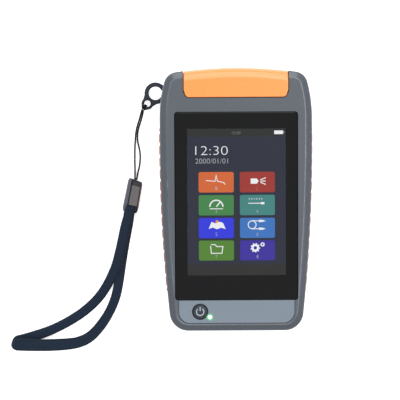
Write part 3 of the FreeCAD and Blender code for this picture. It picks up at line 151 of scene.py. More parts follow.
def plastic(name, rgb, rough=0.5, vary=0.08, grain=2600.0, grain_depth=0.00002, blotch=60.0, coat=0.0, spec=0.5):
    """Moulded plastic: fine spark texture, slow colour drift, uneven gloss."""
    k = Mat(name)
    base = lin(rgb)
    slow = k.noise(blotch, 4.0)
    fine = k.noise(grain, 2.0, 0.6)
    col = k.ramp(slow, [(0.3, shade(base, 1 - vary)), (0.7, shade(base, 1 + vary))])
    k.link(col, k.p.inputs["Base Color"])
    k.link(k.remap(fine, rough - 0.06, rough + 0.08, 0.3, 0.7), k.p.inputs["Roughness"])
    k.link(k.bump(fine, 0.35, grain_depth), k.p.inputs["Normal"])
    k.set(Specular_IOR_Level=spec)
    if coat:
        k.set(Coat_Weight=coat, Coat_Roughness=0.36)
    return k.m


def rubber(name, rgb, rough=0.78, vary=0.1, spec=0.35):
    k = Mat(name)
    base = lin(rgb)
    slow = k.noise(90.0, 4.0)
    fine = k.noise(4200.0, 2.0, 0.7)
    k.link(k.ramp(slow, [(0.3, shade(base, 1 - vary)), (0.7, shade(base, 1 + vary))]), k.p.inputs["Base Color"])
    k.link(k.remap(fine, rough - 0.08, rough + 0.08, 0.3, 0.7), k.p.inputs["Roughness"])
    k.link(k.bump(fine, 0.5, 0.00003), k.p.inputs["Normal"])
    k.set(Specular_IOR_Level=spec)
    return k.m


def metal(name, rgb, rough=0.3, brushed=True, axis=0):
    k = Mat(name)
    base = lin(rgb)
    co = k.coords()
    if brushed:
        mp = k.node("ShaderNodeMapping")
        s = [6000.0, 6000.0, 6000.0]
        s[axis] = 120.0
        mp.inputs["Scale"].default_value = s
        k.link(co, mp.inputs["Vector"])
        n = k.noise(1.0, 3.0, 0.6, mp.outputs["Vector"])
    else:
        n = k.noise(900.0, 4.0, 0.6, co)
    k.link(k.ramp(n, [(0.3, shade(base, 0.85)), (0.7, shade(base, 1.08))]), k.p.inputs["Base Color"])
    k.link(k.remap(n, rough - 0.08, rough + 0.1, 0.3, 0.7), k.p.inputs["Roughness"])
    k.link(k.bump(n, 0.25, 0.00001), k.p.inputs["Normal"])
    k.set(Metallic=1.0)
    return k.m


GLASS_ADDS = 0.013


def glow(name, rgb, strength=1.0, drift=0.03):
    """A lit part of the display: black surface that gives off its own light, with the panel's slight unevenness."""
    k = Mat(name)
    base = [max(0.0, v - GLASS_ADDS) for v in lin(rgb)[:3]]
    n = k.noise(35.0, 2.0)
    k.link(k.ramp(n, [(0.3, shade(base, 1 - drift)), (0.7, shade(base, 1 + drift))]), k.p.inputs["Emission Color"])
    k.set(Base_Color=(0.0, 0.0, 0.0, 1), Roughness=0.6, Emission_Strength=strength, Specular_IOR_Level=0.0)
    return k.m


def twill(name, rgb, pitch_u=0.0011, pitch_v=0.0009, spec=0.25, round_len=0.0126):
    """Woven webbing: diagonal ribs with a cross yarn, from the strap's own length and width coordinates."""
    k = Mat(name)
    base = lin(rgb)
    uv = k.coords("UV")
    sep = k.node("ShaderNodeSeparateXYZ")
    k.link(uv, sep.inputs["Vector"])

    def wave(expr_u, expr_v, shift=0.0):
        a = k.node("ShaderNodeMath", operation="MULTIPLY")
        k.link(sep.outputs["X"], a.inputs[0])
        a.inputs[1].default_value = expr_u
        b = k.node("ShaderNodeMath", operation="MULTIPLY_ADD")
        k.link(sep.outputs["Y"], b.inputs[0])
        b.inputs[1].default_value = expr_v
        k.link(a.outputs[0], b.inputs[2])
        s = k.node("ShaderNodeMath", operation="SINE")
        k.link(b.outputs[0], s.inputs[0])
        return s.outputs[0]

    w1 = wave(2 * math.pi / pitch_u, 2 * math.pi / pitch_v)
    w2 = wave(2 * math.pi / (pitch_u * 0.5), -2 * math.pi / (pitch_v * 0.45))
    mix = k.node("ShaderNodeMath", operation="MULTIPLY_ADD")
    k.link(w2, mix.inputs[0])
    mix.inputs[1].default_value = 0.35
    k.link(w1, mix.inputs[2])
    fuzz = k.noise(5200.0, 3.0, 0.7)
    add = k.node("ShaderNodeMath", operation="MULTIPLY_ADD")
    k.link(fuzz, add.inputs[0])
    add.inputs[1].default_value = 0.9
    k.link(mix.outputs[0], add.inputs[2])
    height = k.remap(add.outputs[0], 0.0, 1.0, -1.0, 2.0)
    cloth = k.ramp(height, [(0.15, shade(base, 0.66)), (0.55, base), (0.95, shade(base, 1.4))])
    # darker along both edges of the webbing
    e1 = k.node("ShaderNodeMath", operation="MULTIPLY")
    k.link(sep.outputs["Y"], e1.inputs[0])
    e1.inputs[1].default_value = 2 * math.pi / round_len
    e2 = k.node("ShaderNodeMath", operation="COSINE")
    k.link(e1.outputs[0], e2.inputs[0])
    e3 = k.node("ShaderNodeMath", operation="ABSOLUTE")
    k.link(e2.outputs[0], e3.inputs[0])
    edge = k.remap(e3.outputs[0], 0.0, 0.72, 0.80, 0.97)
    mixc = k.node("ShaderNodeMix", data_type="RGBA")
    k.link(edge, mixc.inputs[0])
    k.link(cloth, mixc.inputs[6])
    mixc.inputs[7].default_value = shade(base, 0.5)
    k.link(mixc.outputs[2], k.p.inputs["Base Color"])
    k.link(k.bump(height, 0.6, 0.00012), k.p.inputs["Normal"])
    k.set(Roughness=0.86, Specular_IOR_Level=spec, Sheen_Weight=0.08, Sheen_Roughness=0.5)
    return k.m


M = {}
M["case_grey"] = plastic("case_grey", (73, 78, 84), 0.28, 0.03, 2400.0, 0.00002, 45.0)
M["case_back"] = plastic("case_back", (70, 75, 82), 0.52, 0.04, 1700.0, 0.00005, 45.0)
M["cover_orange"] = plastic("cover_orange", (226, 131, 50), 0.3, 0.025, 2600.0, 0.00001, 40.0, coat=0.7)
M["grip_orange"] = rubber("grip_orange", (206, 110, 40), 0.78, 0.07, 0.12)
M["black_rubber"] = rubber("black_rubber", (30, 30, 32), 0.8)
M["foam"] = rubber("foam", (45, 46, 50), 0.95, 0.25)
M["wire_red"] = rubber("wire_red", (176, 30, 24), 0.55)
M["panel_grey"] = plastic("panel_grey", (101, 112, 122), 0.36, 0.02, 3000.0, 0.00001, 50.0)
M["button_grey"] = plastic("button_grey", (27, 33, 42), 0.34, 0.03, 3400.0, 0.00001, 200.0, spec=0.4)
M["chip_black"] = plastic("chip_black", (30, 30, 32), 0.6, 0.15, 5000.0, 0.00002, 300.0)
M["black_plastic"] = plastic("black_plastic", (28, 29, 31), 0.5, 0.12, 3600.0, 0.00002, 200.0)
M["ceramic"] = plastic("ceramic", (240, 240, 234), 0.25, 0.02, 4000.0, 0.000004, 200.0)
M["board_green"] = plastic("board_green", (20, 84, 50), 0.35, 0.2, 900.0, 0.00002, 500.0, coat=0.3)
M["polyimide"] = plastic("polyimide", (184, 112, 34), 0.3, 0.12, 900.0, 0.00001, 300.0)
M["cell_wrap"] = plastic("cell_wrap", (36, 74, 140), 0.3, 0.05, 700.0, 0.00001, 60.0)
M["fibre_yellow"] = plastic("fibre_yellow", (240, 200, 40), 0.4, 0.05, 3000.0, 0.00001, 400.0)
M["ring_plastic"] = plastic("ring_plastic", (18, 27, 40), 0.46, 0.08, 2200.0, 0.00002, 250.0, spec=0.32)
# one moulded plastic in a lit and a shaded copy: painted light on the buckle's left side, painted shade in its groove,
# on its right side and its ends
M["buckle_side_painted_light"] = plastic("buckle_side_painted_light", (65, 69, 79), 0.5, 0.1, 2600.0, 0.00003, 260.0)
M["buckle_rim_painted_shade"] = plastic("buckle_rim_painted_shade", (28, 31, 38), 0.55, 0.1, 2600.0, 0.00003, 260.0, spec=0.3)
M["buckle_grey"] = M["buckle_side_painted_light"]
M["steel"] = metal("steel", (168, 168, 170), 0.3, True, 1)
M["dark_steel"] = metal("dark_steel", (58, 60, 64), 0.42, False)
M["brass"] = metal("brass", (198, 162, 92), 0.3, False)
M["nickel"] = metal("nickel", (200, 198, 192), 0.22, True, 1)
M["module_alu"] = metal("module_alu", (176, 178, 182), 0.42, False)
M["twill"] = twill("strap_twill", (22, 34, 49), spec=0.15)

# buckle front: lengthwise brushed face
k = Mat("buckle_front")
mp = k.node("ShaderNodeMapping")
mp.inputs["Rotation"].default_value = (0, 0, math.radians(9.04))
mp.inputs["Scale"].default_value = (900.0, 60.0, 400.0)
k.link(k.coords(), mp.inputs["Vector"])
streak = k.noise(1.0, 4.0, 0.6, mp.outputs["Vector"])
k.link(k.ramp(streak, [(0.3, lin((70, 71, 73))), (0.5, lin((82, 81, 83))), (0.7, lin((91, 92, 91)))]), k.p.inputs["Base Color"])
k.link(k.remap(streak, 0.4, 0.6, 0.3, 0.7), k.p.inputs["Roughness"])
k.link(k.bump(streak, 0.4, 0.00004), k.p.inputs["Normal"])
k.set(Specular_IOR_Level=0.4)
M["buckle_front"] = k.m

# string: fine twisted yarn
k = Mat("string_yarn")
uvs = k.coords("UV")
sepa = k.node("ShaderNodeSeparateXYZ")
k.link(uvs, sepa.inputs["Vector"])
ma = k.node("ShaderNodeMath", operation="MULTIPLY")
k.link(sepa.outputs["X"], ma.inputs[0])
ma.inputs[1].default_value = 2 * math.pi / 0.0008
mb = k.node("ShaderNodeMath", operation="MULTIPLY_ADD")
k.link(sepa.outputs["Y"], mb.inputs[0])
mb.inputs[1].default_value = 2 * math.pi * 3
k.link(ma.outputs[0], mb.inputs[2])
ms = k.node("ShaderNodeMath", operation="SINE")
k.link(mb.outputs[0], ms.inputs[0])
yarn = k.remap(ms.outputs[0], 0.0, 1.0, -1.0, 1.0)
k.link(k.ramp(yarn, [(0.0, lin((14, 17, 21))), (1.0, lin((36, 40, 46)))]), k.p.inputs["Base Color"])
k.link(k.bump(yarn, 0.5, 0.00005), k.p.inputs["Normal"])
k.set(Roughness=0.85, Specular_IOR_Level=0.0)
M["yarn"] = k.m

# touch glass: clear, with a faint uneven tint
k = Mat("touch_glass")
smear = k.noise(22.0, 4.0)
k.link(k.ramp(smear, [(0.3, (0.975, 0.98, 0.98, 1)), (0.7, (1, 1, 1, 1))]), k.p.inputs["Base Color"])
k.set(Roughness=0.0, Transmission_Weight=1.0, IOR=1.45)
M["touch_glass"] = k.m

# its lower face is bonded to the display, so nothing reflects there
k = Mat("glass_bond")
haze = k.noise(40.0, 2.0)
k.link(k.ramp(haze, [(0.3, (0.985, 0.985, 0.985, 1)), (0.7, (1, 1, 1, 1))]), k.p.inputs["Base Color"])
k.set(Transmission_Weight=1.0, IOR=1.0, Roughness=0.0)
M["glass_bond"] = k.m

# print on the inside of the glass: near-black, with a faint painted glow in place of the light it would catch through
# the glass
k = Mat("glass_print_painted_glow")
fine = k.noise(1500.0, 2.0)
k.link(k.ramp(fine, [(0.3, lin((9, 9, 9))), (0.7, lin((12, 12, 12)))]), k.p.inputs["Emission Color"])
k.set(Base_Color=(0.0, 0.0, 0.0, 1), Roughness=0.6, Emission_Strength=1.0, Specular_IOR_Level=0.0)
M["glass_print_painted_glow"] = k.m
# the glass where the black print lies right under it: seen as black glass
k = Mat("black_glass")
fine = k.noise(1500.0, 2.0)
k.link(k.ramp(fine, [(0.3, lin((9, 9, 9))), (0.7, lin((12, 12, 12)))]), k.p.inputs["Base Color"])
slow = k.noise(30.0, 3.0)
k.link(k.remap(slow, 0.015, 0.04), k.p.inputs["Roughness"])
k.set(Specular_IOR_Level=0.5, IOR=1.45)
M["black_glass"] = k.m
M["glass_rim"] = plastic("glass_rim", (120, 124, 130), 0.4, 0.02, 3000.0, 0.00001)

# lamp: milky green light guide
k = Mat("lamp_core")
n = k.noise(1800.0, 2.0)
k.link(k.ramp(n, [(0.3, lin((226, 255, 236))), (0.7, lin((250, 255, 250)))]), k.p.inputs["Emission Color"])
k.set(Base_Color=lin((150, 230, 170)), Roughness=0.3, Emission_Strength=1.0)
M["lamp_core"] = k.m


def lamp_halo():
    """Green light that fades away round the lamp, by distance from its middle."""
    k = Mat("lamp_halo")
    co = k.coords("UV")
    g = k.node("ShaderNodeTexGradient", gradient_type="SPHERICAL")
    mp = k.node("ShaderNodeMapping")
    mp.inputs["Location"].default_value = (-0.5, -0.5, 0)
    mp2 = k.node("ShaderNodeMapping")
    mp2.inputs["Scale"].default_value = (2.0, 2.0, 1.0)
    k.link(co, mp.inputs["Vector"])
    k.link(mp.outputs["Vector"], mp2.inputs["Vector"])
    k.link(mp2.outputs["Vector"], g.inputs["Vector"])
    k.link(k.ramp(g.outputs["Fac"], [(0.0, (0, 0, 0, 1)), (1.0, (1, 1, 1, 1))]), k.p.inputs["Alpha"])
    k.set(Base_Color=lin((120, 190, 140)), Emission_Color=lin((110, 214, 140)), Emission_Strength=0.4, Roughness=0.6)
    return k.m


M["lamp_halo"] = lamp_halo()

# floor: pale sweep with a breath of unevenness
k = Mat("floor_pale")
n = k.noise(3.0, 2.0)
k.link(k.ramp(n, [(0.3, (0.86, 0.86, 0.87, 1)), (0.7, (0.89, 0.89, 0.9, 1))]), k.p.inputs["Base Color"])
k.set(Roughness=0.9, Specular_IOR_Level=0.1, Emission_Color=(1.0, 1.0, 1.0, 1.0), Emission_Strength=0.54)
M["floor"] = k.m


# ---------------------------------------------------------------------------
# Mesh helpers
# ---------------------------------------------------------------------------
def mesh_object(name, verts, faces, mat, uvs=None, smooth=True):
    me = bpy.data.meshes.new(name)
    me.from_pydata([tuple(v) for v in verts], [], faces)
    if uvs is not None:
        layer = me.uv_layers.new(name="UVMap")
        for loop in me.loops:
            layer.data[loop.index].uv = uvs[loop.vertex_index]
    me.validate()
    bm = bmesh.new()
    bm.from_mesh(me)
    bmesh.ops.recalc_face_normals(bm, faces=bm.faces)
    bm.to_mesh(me)
    bm.free()
    for p in me.polygons:
        p.use_smooth = smooth
    me.materials.append(mat)
    o = bpy.data.objects.new(name, me)
    scene.collection.objects.link(o)
    return o


def plate(name, outline, z0, z1, mat, body="case", holes=(), bevel=0.0, smooth=False):
    """Thin solid plate from an outline in mm, holes allowed, from z0 to z1 in mm."""
    bm = bmesh.new()
    rings = [outline] + list(holes)
    edges = []
    for ring in rings:
        vs = [bm.verts.new((x * MM, y * MM, z0 * MM)) for x, y in ring]
        for i in range(len(vs)):
            edges.append(bm.edges.new((vs[i], vs[(i + 1) % len(vs)])))
    bmesh.ops.triangle_fill(bm, use_beauty=True, edges=edges)
    faces = list(bm.faces)
    ext = bmesh.ops.extrude_face_region(bm, geom=faces)
    top = [v for v in ext["geom"] if isinstance(v, bmesh.types.BMVert)]
    bmesh.ops.translate(bm, verts=top, vec=(0, 0, (z1 - z0) * MM))
    bmesh.ops.recalc_face_normals(bm, faces=bm.faces)
    me = bpy.data.meshes.new(name)
    bm.to_mesh(me)
    bm.free()
    for p in me.polygons:
        p.use_smooth = smooth
    me.materials.append(mat)
    o = bpy.data.objects.new(name, me)
    scene.collection.objects.link(o)
    if bevel:
        bv = o.modifiers.new("edge", "BEVEL")
        bv.width = bevel * MM
        bv.segments = 2
        bv.limit_method = "ANGLE"
    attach(o, body)
    return o


def rounded(x0, y0, x1, y1, r, seg=8):
    pts = []
    for cx, cy, a0 in ((x1 - r, y0 + r, -90), (x1 - r, y1 - r, 0), (x0 + r, y1 - r, 90), (x0 + r, y0 + r, 180)):
        for i in range(seg + 1):
            a = math.radians(a0 + 90 * i / seg)
            pts.append((cx + r * math.cos(a), cy + r * math.sin(a)))
    return pts


def circle_pts(cx, cy, r, n=40, a0=0.0, a1=360.0):
    return [(cx + r * math.cos(math.radians(a0 + (a1 - a0) * i / n)),
             cy + r * math.sin(math.radians(a0 + (a1 - a0) * i / n))) for i in range(n)]


def frame_plate(name, outer, inner, z0, z1, mat, body="case"):
    """Thin closed frame between two outlines with the same number of points."""
    n_ = len(outer)
    verts = [(x * MM, y * MM, z * MM) for z in (z0, z1) for ring in (outer, inner) for x, y in ring]
    faces = []
    for i in range(n_):
        j = (i + 1) % n_
        faces.append((i, j, n_ + j, n_ + i))
        faces.append((2 * n_ + i, 3 * n_ + i, 3 * n_ + j, 2 * n_ + j))
        faces.append((i, 2 * n_ + i, 2 * n_ + j, j))
        faces.append((n_ + i, n_ + j, 3 * n_ + j, 3 * n_ + i))
    o = mesh_object(name, verts, faces, mat, smooth=False)
    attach(o, body)
    return o


def stroke(pts, w):
    """Outline of an open polyline drawn with a pen of width w, mitred."""
    left, right_ = [], []
    n = len(pts)
    for i, (x, y) in enumerate(pts):
        a = Vector(pts[max(i - 1, 0)])
        b = Vector(pts[min(i + 1, n - 1)])
        p = Vector((x, y))
        t1 = (p - a).normalized() if i > 0 else (b - p).normalized()
        t2 = (b - p).normalized() if i < n - 1 else t1
        t = (t1 + t2)
        t = t.normalized() if t.length > 1e-6 else t1
        nrm = Vector((-t.y, t.x))
        k_ = 1.0 / max(0.35, nrm.dot(Vector((-t1.y, t1.x))))
        left.append(tuple(p + nrm * (w / 2) * k_))
        right_.append(tuple(p - nrm * (w / 2) * k_))
    return left + right_[::-1]


def nurbs(name, pts):
    """Open NURBS line through its own control points, in metres."""
    cu = bpy.data.curves.new(name, "CURVE")
    cu.dimensions = "3D"
    cu.resolution_u = 24
    sp = cu.splines.new("NURBS")
    sp.points.add(len(pts) - 1)
    for i, p in enumerate(pts):
        sp.points[i].co = (p[0] * MM, p[1] * MM, p[2] * MM, 1.0)
    sp.order_u = 3
    sp.use_endpoint_u = True
    o = bpy.data.objects.new(name, cu)
    scene.collection.objects.link(o)
    me = bpy.data.meshes.new_from_object(o)
    line = [v.co.copy() for v in me.vertices]
    bpy.data.meshes.remove(me)
    bpy.data.objects.remove(o)
    return line


def even(line, step):
    """The same line with evenly spaced points."""
    acc = [0.0]
    for i in range(1, len(line)):
        acc.append(acc[-1] + (line[i] - line[i - 1]).length)
    n = max(2, int(round(acc[-1] / step)))
    out, j = [], 0
    for i in range(n + 1):
        s = acc[-1] * i / n
        while j < len(line) - 2 and acc[j + 1] < s:
            j += 1
        f = (s - acc[j]) / max(1e-12, acc[j + 1] - acc[j])
        out.append(line[j].lerp(line[j + 1], min(1.0, max(0.0, f))))
    return out, acc[-1]


def tangents(line):
    out = []
    for i in range(len(line)):
        a, b = line[max(0, i - 1)], line[min(len(line) - 1, i + 1)]
        out.append((b - a).normalized())
    return out


# ---------------------------------------------------------------------------
# Strap: band, strings, knot
# ---------------------------------------------------------------------------
U = Vector((-0.1571, -0.9876, 0)).normalized()
W = Vector((-U.y, U.x, 0))
BT0 = Vector((-52.35, 9.35, 0))
BL0 = BT0 + U * 17.3


def at(c, along, across, z):
    q = c + U * along + W * across
    return (q.x, q.y, z)


BAND = [at(BL0, 0.28, -0.3, 1.5), (-56.2, -13.6, 1.42), (-58.0, -22.5, 1.42), (-59.7, -33.1, 1.42), (-61.2, -43.7, 1.42),
        (-62.9, -52.6, 1.42), (-66.3, -60.6, 1.42), (-71.0, -67.9, 1.42), (-76.6, -74.0, 1.42), (-83.0, -77.0, 1.5),
        (-90.2, -77.7, 2.6), (-97.9, -77.8, 4.1), (-105.0, -77.6, 5.3), (-112.3, -77.3, 6.05), (-117.3, -77.0, 6.2),
        (-117.3, -76.6, 1.4), (-112.4, -75.15, 1.42), (-106.5, -73.3, 1.42), (-100.8, -71.5, 1.42), (-94.6, -69.0, 1.42),
        (-87.5, -65.3, 1.42), (-80.3, -60.7, 1.42), (-74.3, -55.5, 1.42), (-69.6, -49.9, 1.5), (-65.7, -43.0, 2.3),
        (-62.6, -36.3, 3.5), (-60.7, -29.5, 4.2), (-59.0, -22.2, 4.3), (-57.4, -14.6, 4.4), at(BL0, 0.28, -0.2, 4.5)]


def band_mesh(name, ctrl, width_at, thick, mat, step=0.0002):
    """Flat webbing swept along its route: woven surface, rounded selvedges, width given along the length."""
    line, length = even(nurbs(name + "_line", ctrl), step)
    tan = tangents(line)
    # width direction: level, carried along without a flip through the fold
    wd = []
    prev = Vector((0, 0, 1)).cross(tan[0]).normalized()
    for t in tan:
        flat = Vector((0, 0, 1)).cross(t)
        if flat.length > 0.35:
            flat.normalize()
            if flat.dot(prev) < 0:
                flat = -flat
            cand = flat
        else:
            cand = (prev - t * prev.dot(t)).normalized()
        prev = prev.lerp(cand, 0.25).normalized()
        prev = (prev - t * prev.dot(t)).normalized()
        wd.append(prev)
    for _ in range(60):
        wd = [wd[0]] + [((wd[i - 1] + wd[i] * 2 + wd[i + 1]).normalized()) for i in range(1, len(wd) - 1)] + [wd[-1]]
    # section: flat with soft round edges
    ns = 40
    sec, per = [], [0.0]
    for i in range(ns):
        th = 2 * math.pi * i / ns
        c, s = math.cos(th), math.sin(th)
        sec.append((math.copysign(abs(c) ** 0.6, c), math.copysign(abs(s) ** 0.6, s)))
    for i in range(ns):
        q0, q1 = sec[i], sec[(i + 1) % ns]
        per.append(per[-1] + math.hypot((q1[0] - q0[0]) * 0.0027, (q1[1] - q0[1]) * thick / 2))
    verts, uvs, faces = [], [], []
    b = thick / 2
    end_x = min(p.x for p in line)
    tip = min(range(len(line)), key=lambda i_: line[i_].x) * length / (len(line) - 1)
    for i, p in enumerate(line):
        t = tan[i]
        w = (wd[i] - t * wd[i].dot(t)).normalized()
        up_ = t.cross(w)
        s_len = length * i / (len(line) - 1)
        a = width_at(s_len / length) / 2
        # the doubled end is drawn in to a round nose
        near = (p.x - end_x) / MM
        if abs(s_len - tip) < 9 * MM and near < 2.8:
            a *= 0.34 + 0.66 * math.sqrt(max(0.0, 1 - (1 - near / 2.8) ** 2))
        for j, (x, y) in enumerate(sec):
            rib = 0.045 * math.sin(2 * math.pi * (s_len / 0.00125 + per[j] / 0.00105))
            rib += 0.02 * math.sin(2 * math.pi * (s_len / 0.0029 - per[j] / 0.0021))
            verts.append(p + w * (x * a * (1 + 0.012 * math.sin(s_len / 0.0011 * 2 * math.pi))) + up_ * (y * b * (1.0 + rib)))
            uvs.append((s_len, per[j]))
    n = len(line)
    for i in range(n - 1):
        for j in range(ns):
            j2 = (j + 1) % ns
            faces.append((i * ns + j, i * ns + j2, (i + 1) * ns + j2, (i + 1) * ns + j))
    faces.append(tuple(range(ns))[::-1])
    faces.append(tuple((n - 1) * ns + j for j in range(ns)))
    o = mesh_object(name, verts, faces, mat, uvs)
    return o, line, length


def yarn_mesh(name, ctrl, radius, mat, plies=3, lay=0.0024, step=0.00012, line=None):
    """Laid string: three plies wound round the line, as one closed tube with a lobed section."""
    line, length = even(line or nurbs(name + "_line", ctrl), step)
    tan = tangents(line)
    nv = Vector((0, 0, 1))
    nv = (nv - tan[0] * nv.dot(tan[0])).normalized()
    ns = 18
    verts, uvs, faces = [], [], []
    for i, p in enumerate(line):
        t = tan[i]
        nv = (nv - t * nv.dot(t)).normalized()
        bv = t.cross(nv)
        s_len = length * i / (len(line) - 1)
        ph = 2 * math.pi * s_len / lay
        for j in range(ns):
            th = 2 * math.pi * j / ns
            r = radius * (0.88 + 0.12 * math.cos(plies * (th - ph)))
            verts.append(p + nv * (r * math.cos(th)) + bv * (r * math.sin(th)))
            uvs.append((s_len, j / ns))
    n = len(line)
    for i in range(n - 1):
        for j in range(ns):
            j2 = (j + 1) % ns
            faces.append((i * ns + j, i * ns + j2, (i + 1) * ns + j2, (i + 1) * ns + j))
    faces.append(tuple(range(ns))[::-1])
    faces.append(tuple((n - 1) * ns + j for j in range(ns)))
    return mesh_object(name, verts, faces, mat, uvs), line, length


def band_width(f):
    """Webbing width along the strap: narrower where it is pinched by the buckle, opened flat at the fold."""
    keys = [(0.0, 5.4), (0.04, 5.4), (0.16, 5.05), (0.24, 5.0), (0.30, 5.4), (0.36, 5.9), (0.41, 6.3), (0.53, 6.3), (0.58, 5.4),
            (0.66, 5.05), (0.80, 5.1), (0.90, 5.3), (1.0, 5.4)]
    for (f0, w0), (f1, w1) in zip(keys, keys[1:]):
        if f <= f1:
            u = (f - f0) / (f1 - f0)
            u = u * u * (3 - 2 * u)
            return (w0 + (w1 - w0) * u) * MM
    return keys[-1][1] * MM


band, band_line, band_len = band_mesh("band", BAND, band_width, 0.0021, M["twill"])
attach(band, "strap")
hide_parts("strap_band")

STRING_A = [at(BT0, -0.12, 0.82, 3.0), (-51.0, 12.6, 2.1), (-50.0, 16.5, 0.9), (-49.5, 21.2, 0.6), (-49.9, 25.2, 0.6), (-51.1, 30.0, 0.9),
            (-50.85, 34.8, 1.9), (-49.83, 38.2, 3.0), (-48.37, 42.33, 4.5), (-47.57, 45.75, 5.55)]
STRING_B = [at(BT0, -0.12, -0.02, 3.0), (-52.3, 12.6, 2.0), (-52.45, 16.0, 0.9), (-52.5, 21.2, 0.6), (-52.45, 26.0, 0.7), (-52.1, 30.9, 1.0),
            (-51.65, 35.0, 1.9), (-50.63, 38.45, 3.0), (-49.15, 42.63, 4.5), (-48.23, 46.27, 5.55)]


def twisted(ctrl_a, ctrl_b, f0, f1, turns, gap):
    """The two strings' lines, wound round each other between the fractions f0 and f1 of their length."""
    la, na = even(nurbs("line_a", ctrl_a), 0.0001)
    lb, nb = even(nurbs("line_b", ctrl_b), 0.0001)
    n_ = min(len(la), len(lb)) - 1
    out_a, out_b = [], []
    for i in range(n_ + 1):
        qa, qb = la[round(i * (len(la) - 1) / n_)], lb[round(i * (len(lb) - 1) / n_)]
        f = i / n_
        mid, half = (qa + qb) / 2, (qa - qb) / 2
        if f0 < f < f1:
            u = (f - f0) / (f1 - f0)
            ease = u * u * (3 - 2 * u)
            ahead = la[min(len(la) - 1, round(i * (len(la) - 1) / n_) + 3)] - la[max(0, round(i * (len(la) - 1) / n_) - 3)]
            tight = math.sin(math.pi * u) ** 0.5
            size = half.length * (1 - tight) + gap * tight
            half = half.normalized() * size
            half = Matrix.Rotation(2 * math.pi * turns * ease, 3, ahead.normalized()) @ half
        out_a.append(mid + half)
        out_b.append(mid - half)
    return out_a, out_b


way_a, way_b = twisted(STRING_A, STRING_B, 0.66, 0.985, 0, 0.00050)
str_a, line_a, len_a = yarn_mesh("string_right", None, 0.00049, M["yarn"], line=way_a)
str_b, line_b, len_b = yarn_mesh("string_left", None, 0.00049, M["yarn"], line=way_b)
for o, n_ in ((str_a, "strap_string_right"), (str_b, "strap_string_left")):
    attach(o, "strap")
    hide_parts(n_)


# buckle: moulded body with a rounded left side, a groove and a brushed front face; its one plastic carries painted
# light on the left side and painted shade in the groove and on the right side
UB = Vector((-0.19, -0.9818, 0)).normalized()
WB = Vector((-UB.y, UB.x, 0))


def on_buckle(along, across, z):
    q = BT0 + UB * along + WB * across
    return (q.x, q.y, z)


def buckle_mesh():
    # across (share of the half width), height (mm), material of the strip that ends here
    sec = [(-0.90, 0.0, 0), (-0.97, 0.25, 0), (-1.0, 1.0, 1), (-1.0, 2.6, 1), (-0.975, 3.6, 1), (-0.92, 4.4, 1), (-0.83, 5.1, 1),
           (-0.70, 5.55, 1), (-0.55, 5.72, 1), (-0.45, 5.66, 1), (-0.40, 5.38, 0), (-0.365, 5.25, 0), (-0.33, 5.42, 0), (-0.29, 5.8, 0),
           (-0.25, 6.05, 2), (-0.15, 6.13, 2), (0.05, 6.17, 2), (0.3, 6.17, 2), (0.55, 6.14, 2), (0.77, 6.06, 2), (0.83, 5.94, 2),
           (0.865, 5.76, 0), (0.90, 5.6, 0), (0.94, 5.3, 0), (0.975, 4.8, 0), (0.995, 3.9, 0), (1.0, 2.6, 0), (1.0, 0.9, 0),
           (0.97, 0.25, 0), (0.90, 0.0, 0)]
    ns = len(sec)
    # along (mm from the top end), share of the height, share of the width
    rows = [(0.0, 0.60, 0.80), (0.15, 0.72, 0.88), (0.5, 0.80, 0.95), (1.0, 0.85, 0.985), (1.7, 0.885, 1.0), (2.4, 0.91, 1.0),
            (2.75, 0.93, 1.0), (3.0, 0.975, 1.0), (3.3, 1.0, 1.0), (5.0, 1.0, 1.0), (7.0, 1.0, 1.0), (9.0, 1.0, 1.0), (11.0, 1.0, 1.0),
            (12.6, 1.0, 1.0), (13.4, 0.985, 1.0), (13.8, 0.93, 1.0), (14.1, 0.84, 1.0), (14.6, 0.8, 1.0), (15.4, 0.78, 0.995),
            (16.2, 0.74, 0.97), (16.8, 0.68, 0.92), (17.2, 0.6, 0.85), (17.35, 0.5, 0.78)]
    verts, faces, mats = [], [], []
    for along, hk, wk in rows:
        hw = (3.85 + 0.30 * along / 17.3) * wk
        for x, z, _m in sec:
            side = x < -0.5 or x > 0.8
            keep_z = 0.5 if side else 0.0
            zz = z * (hk + (1 - hk) * keep_z) if z > 1.2 else z
            # the left side stays full height further down than the front
            verts.append(on_buckle(along + (0.55 * x if along < 8 else 0.0) * (1 - min(1.0, along / 8)), x * hw + 0.3, zz))
    verts = [(x * MM, y * MM, z * MM) for x, y, z in verts]
    for i in range(len(rows) - 1):
        for j in range(ns):
            j2 = (j + 1) % ns
            faces.append((i * ns + j, i * ns + j2, (i + 1) * ns + j2, (i + 1) * ns + j))
            m_ = sec[j2][2] if j2 else 0
            # the sloping ends of the front take the painted shade as well
            if m_ == 2 and (rows[i + 1][0] < 3.1 or rows[i][0] > 13.3):
                m_ = 0
            mats.append(m_)
    faces.append(tuple(range(ns))[::-1])
    faces.append(tuple((len(rows) - 1) * ns + j for j in range(ns)))
    mats += [0, 0]
    me = bpy.data.meshes.new("buckle")
    me.from_pydata(verts, [], faces)
    for key in ("buckle_rim_painted_shade", "buckle_side_painted_light", "buckle_front"):
        me.materials.append(M[key])
    for poly_, m_ in zip(me.polygons, mats):
        poly_.material_index = m_
        poly_.use_smooth = len(poly_.vertices) == 4
    bm = bmesh.new()
    bm.from_mesh(me)
    bmesh.ops.recalc_face_normals(bm, faces=bm.faces)
    bm.to_mesh(me)
    bm.free()
    o = bpy.data.objects.new("buckle", me)
    scene.collection.objects.link(o)
    sub = o.modifiers.new("soft", "SUBSURF")
    sub.levels = sub.render_levels = 2
    return o


buckle = buckle_mesh()
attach(buckle, "strap")
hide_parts("strap_buckle")


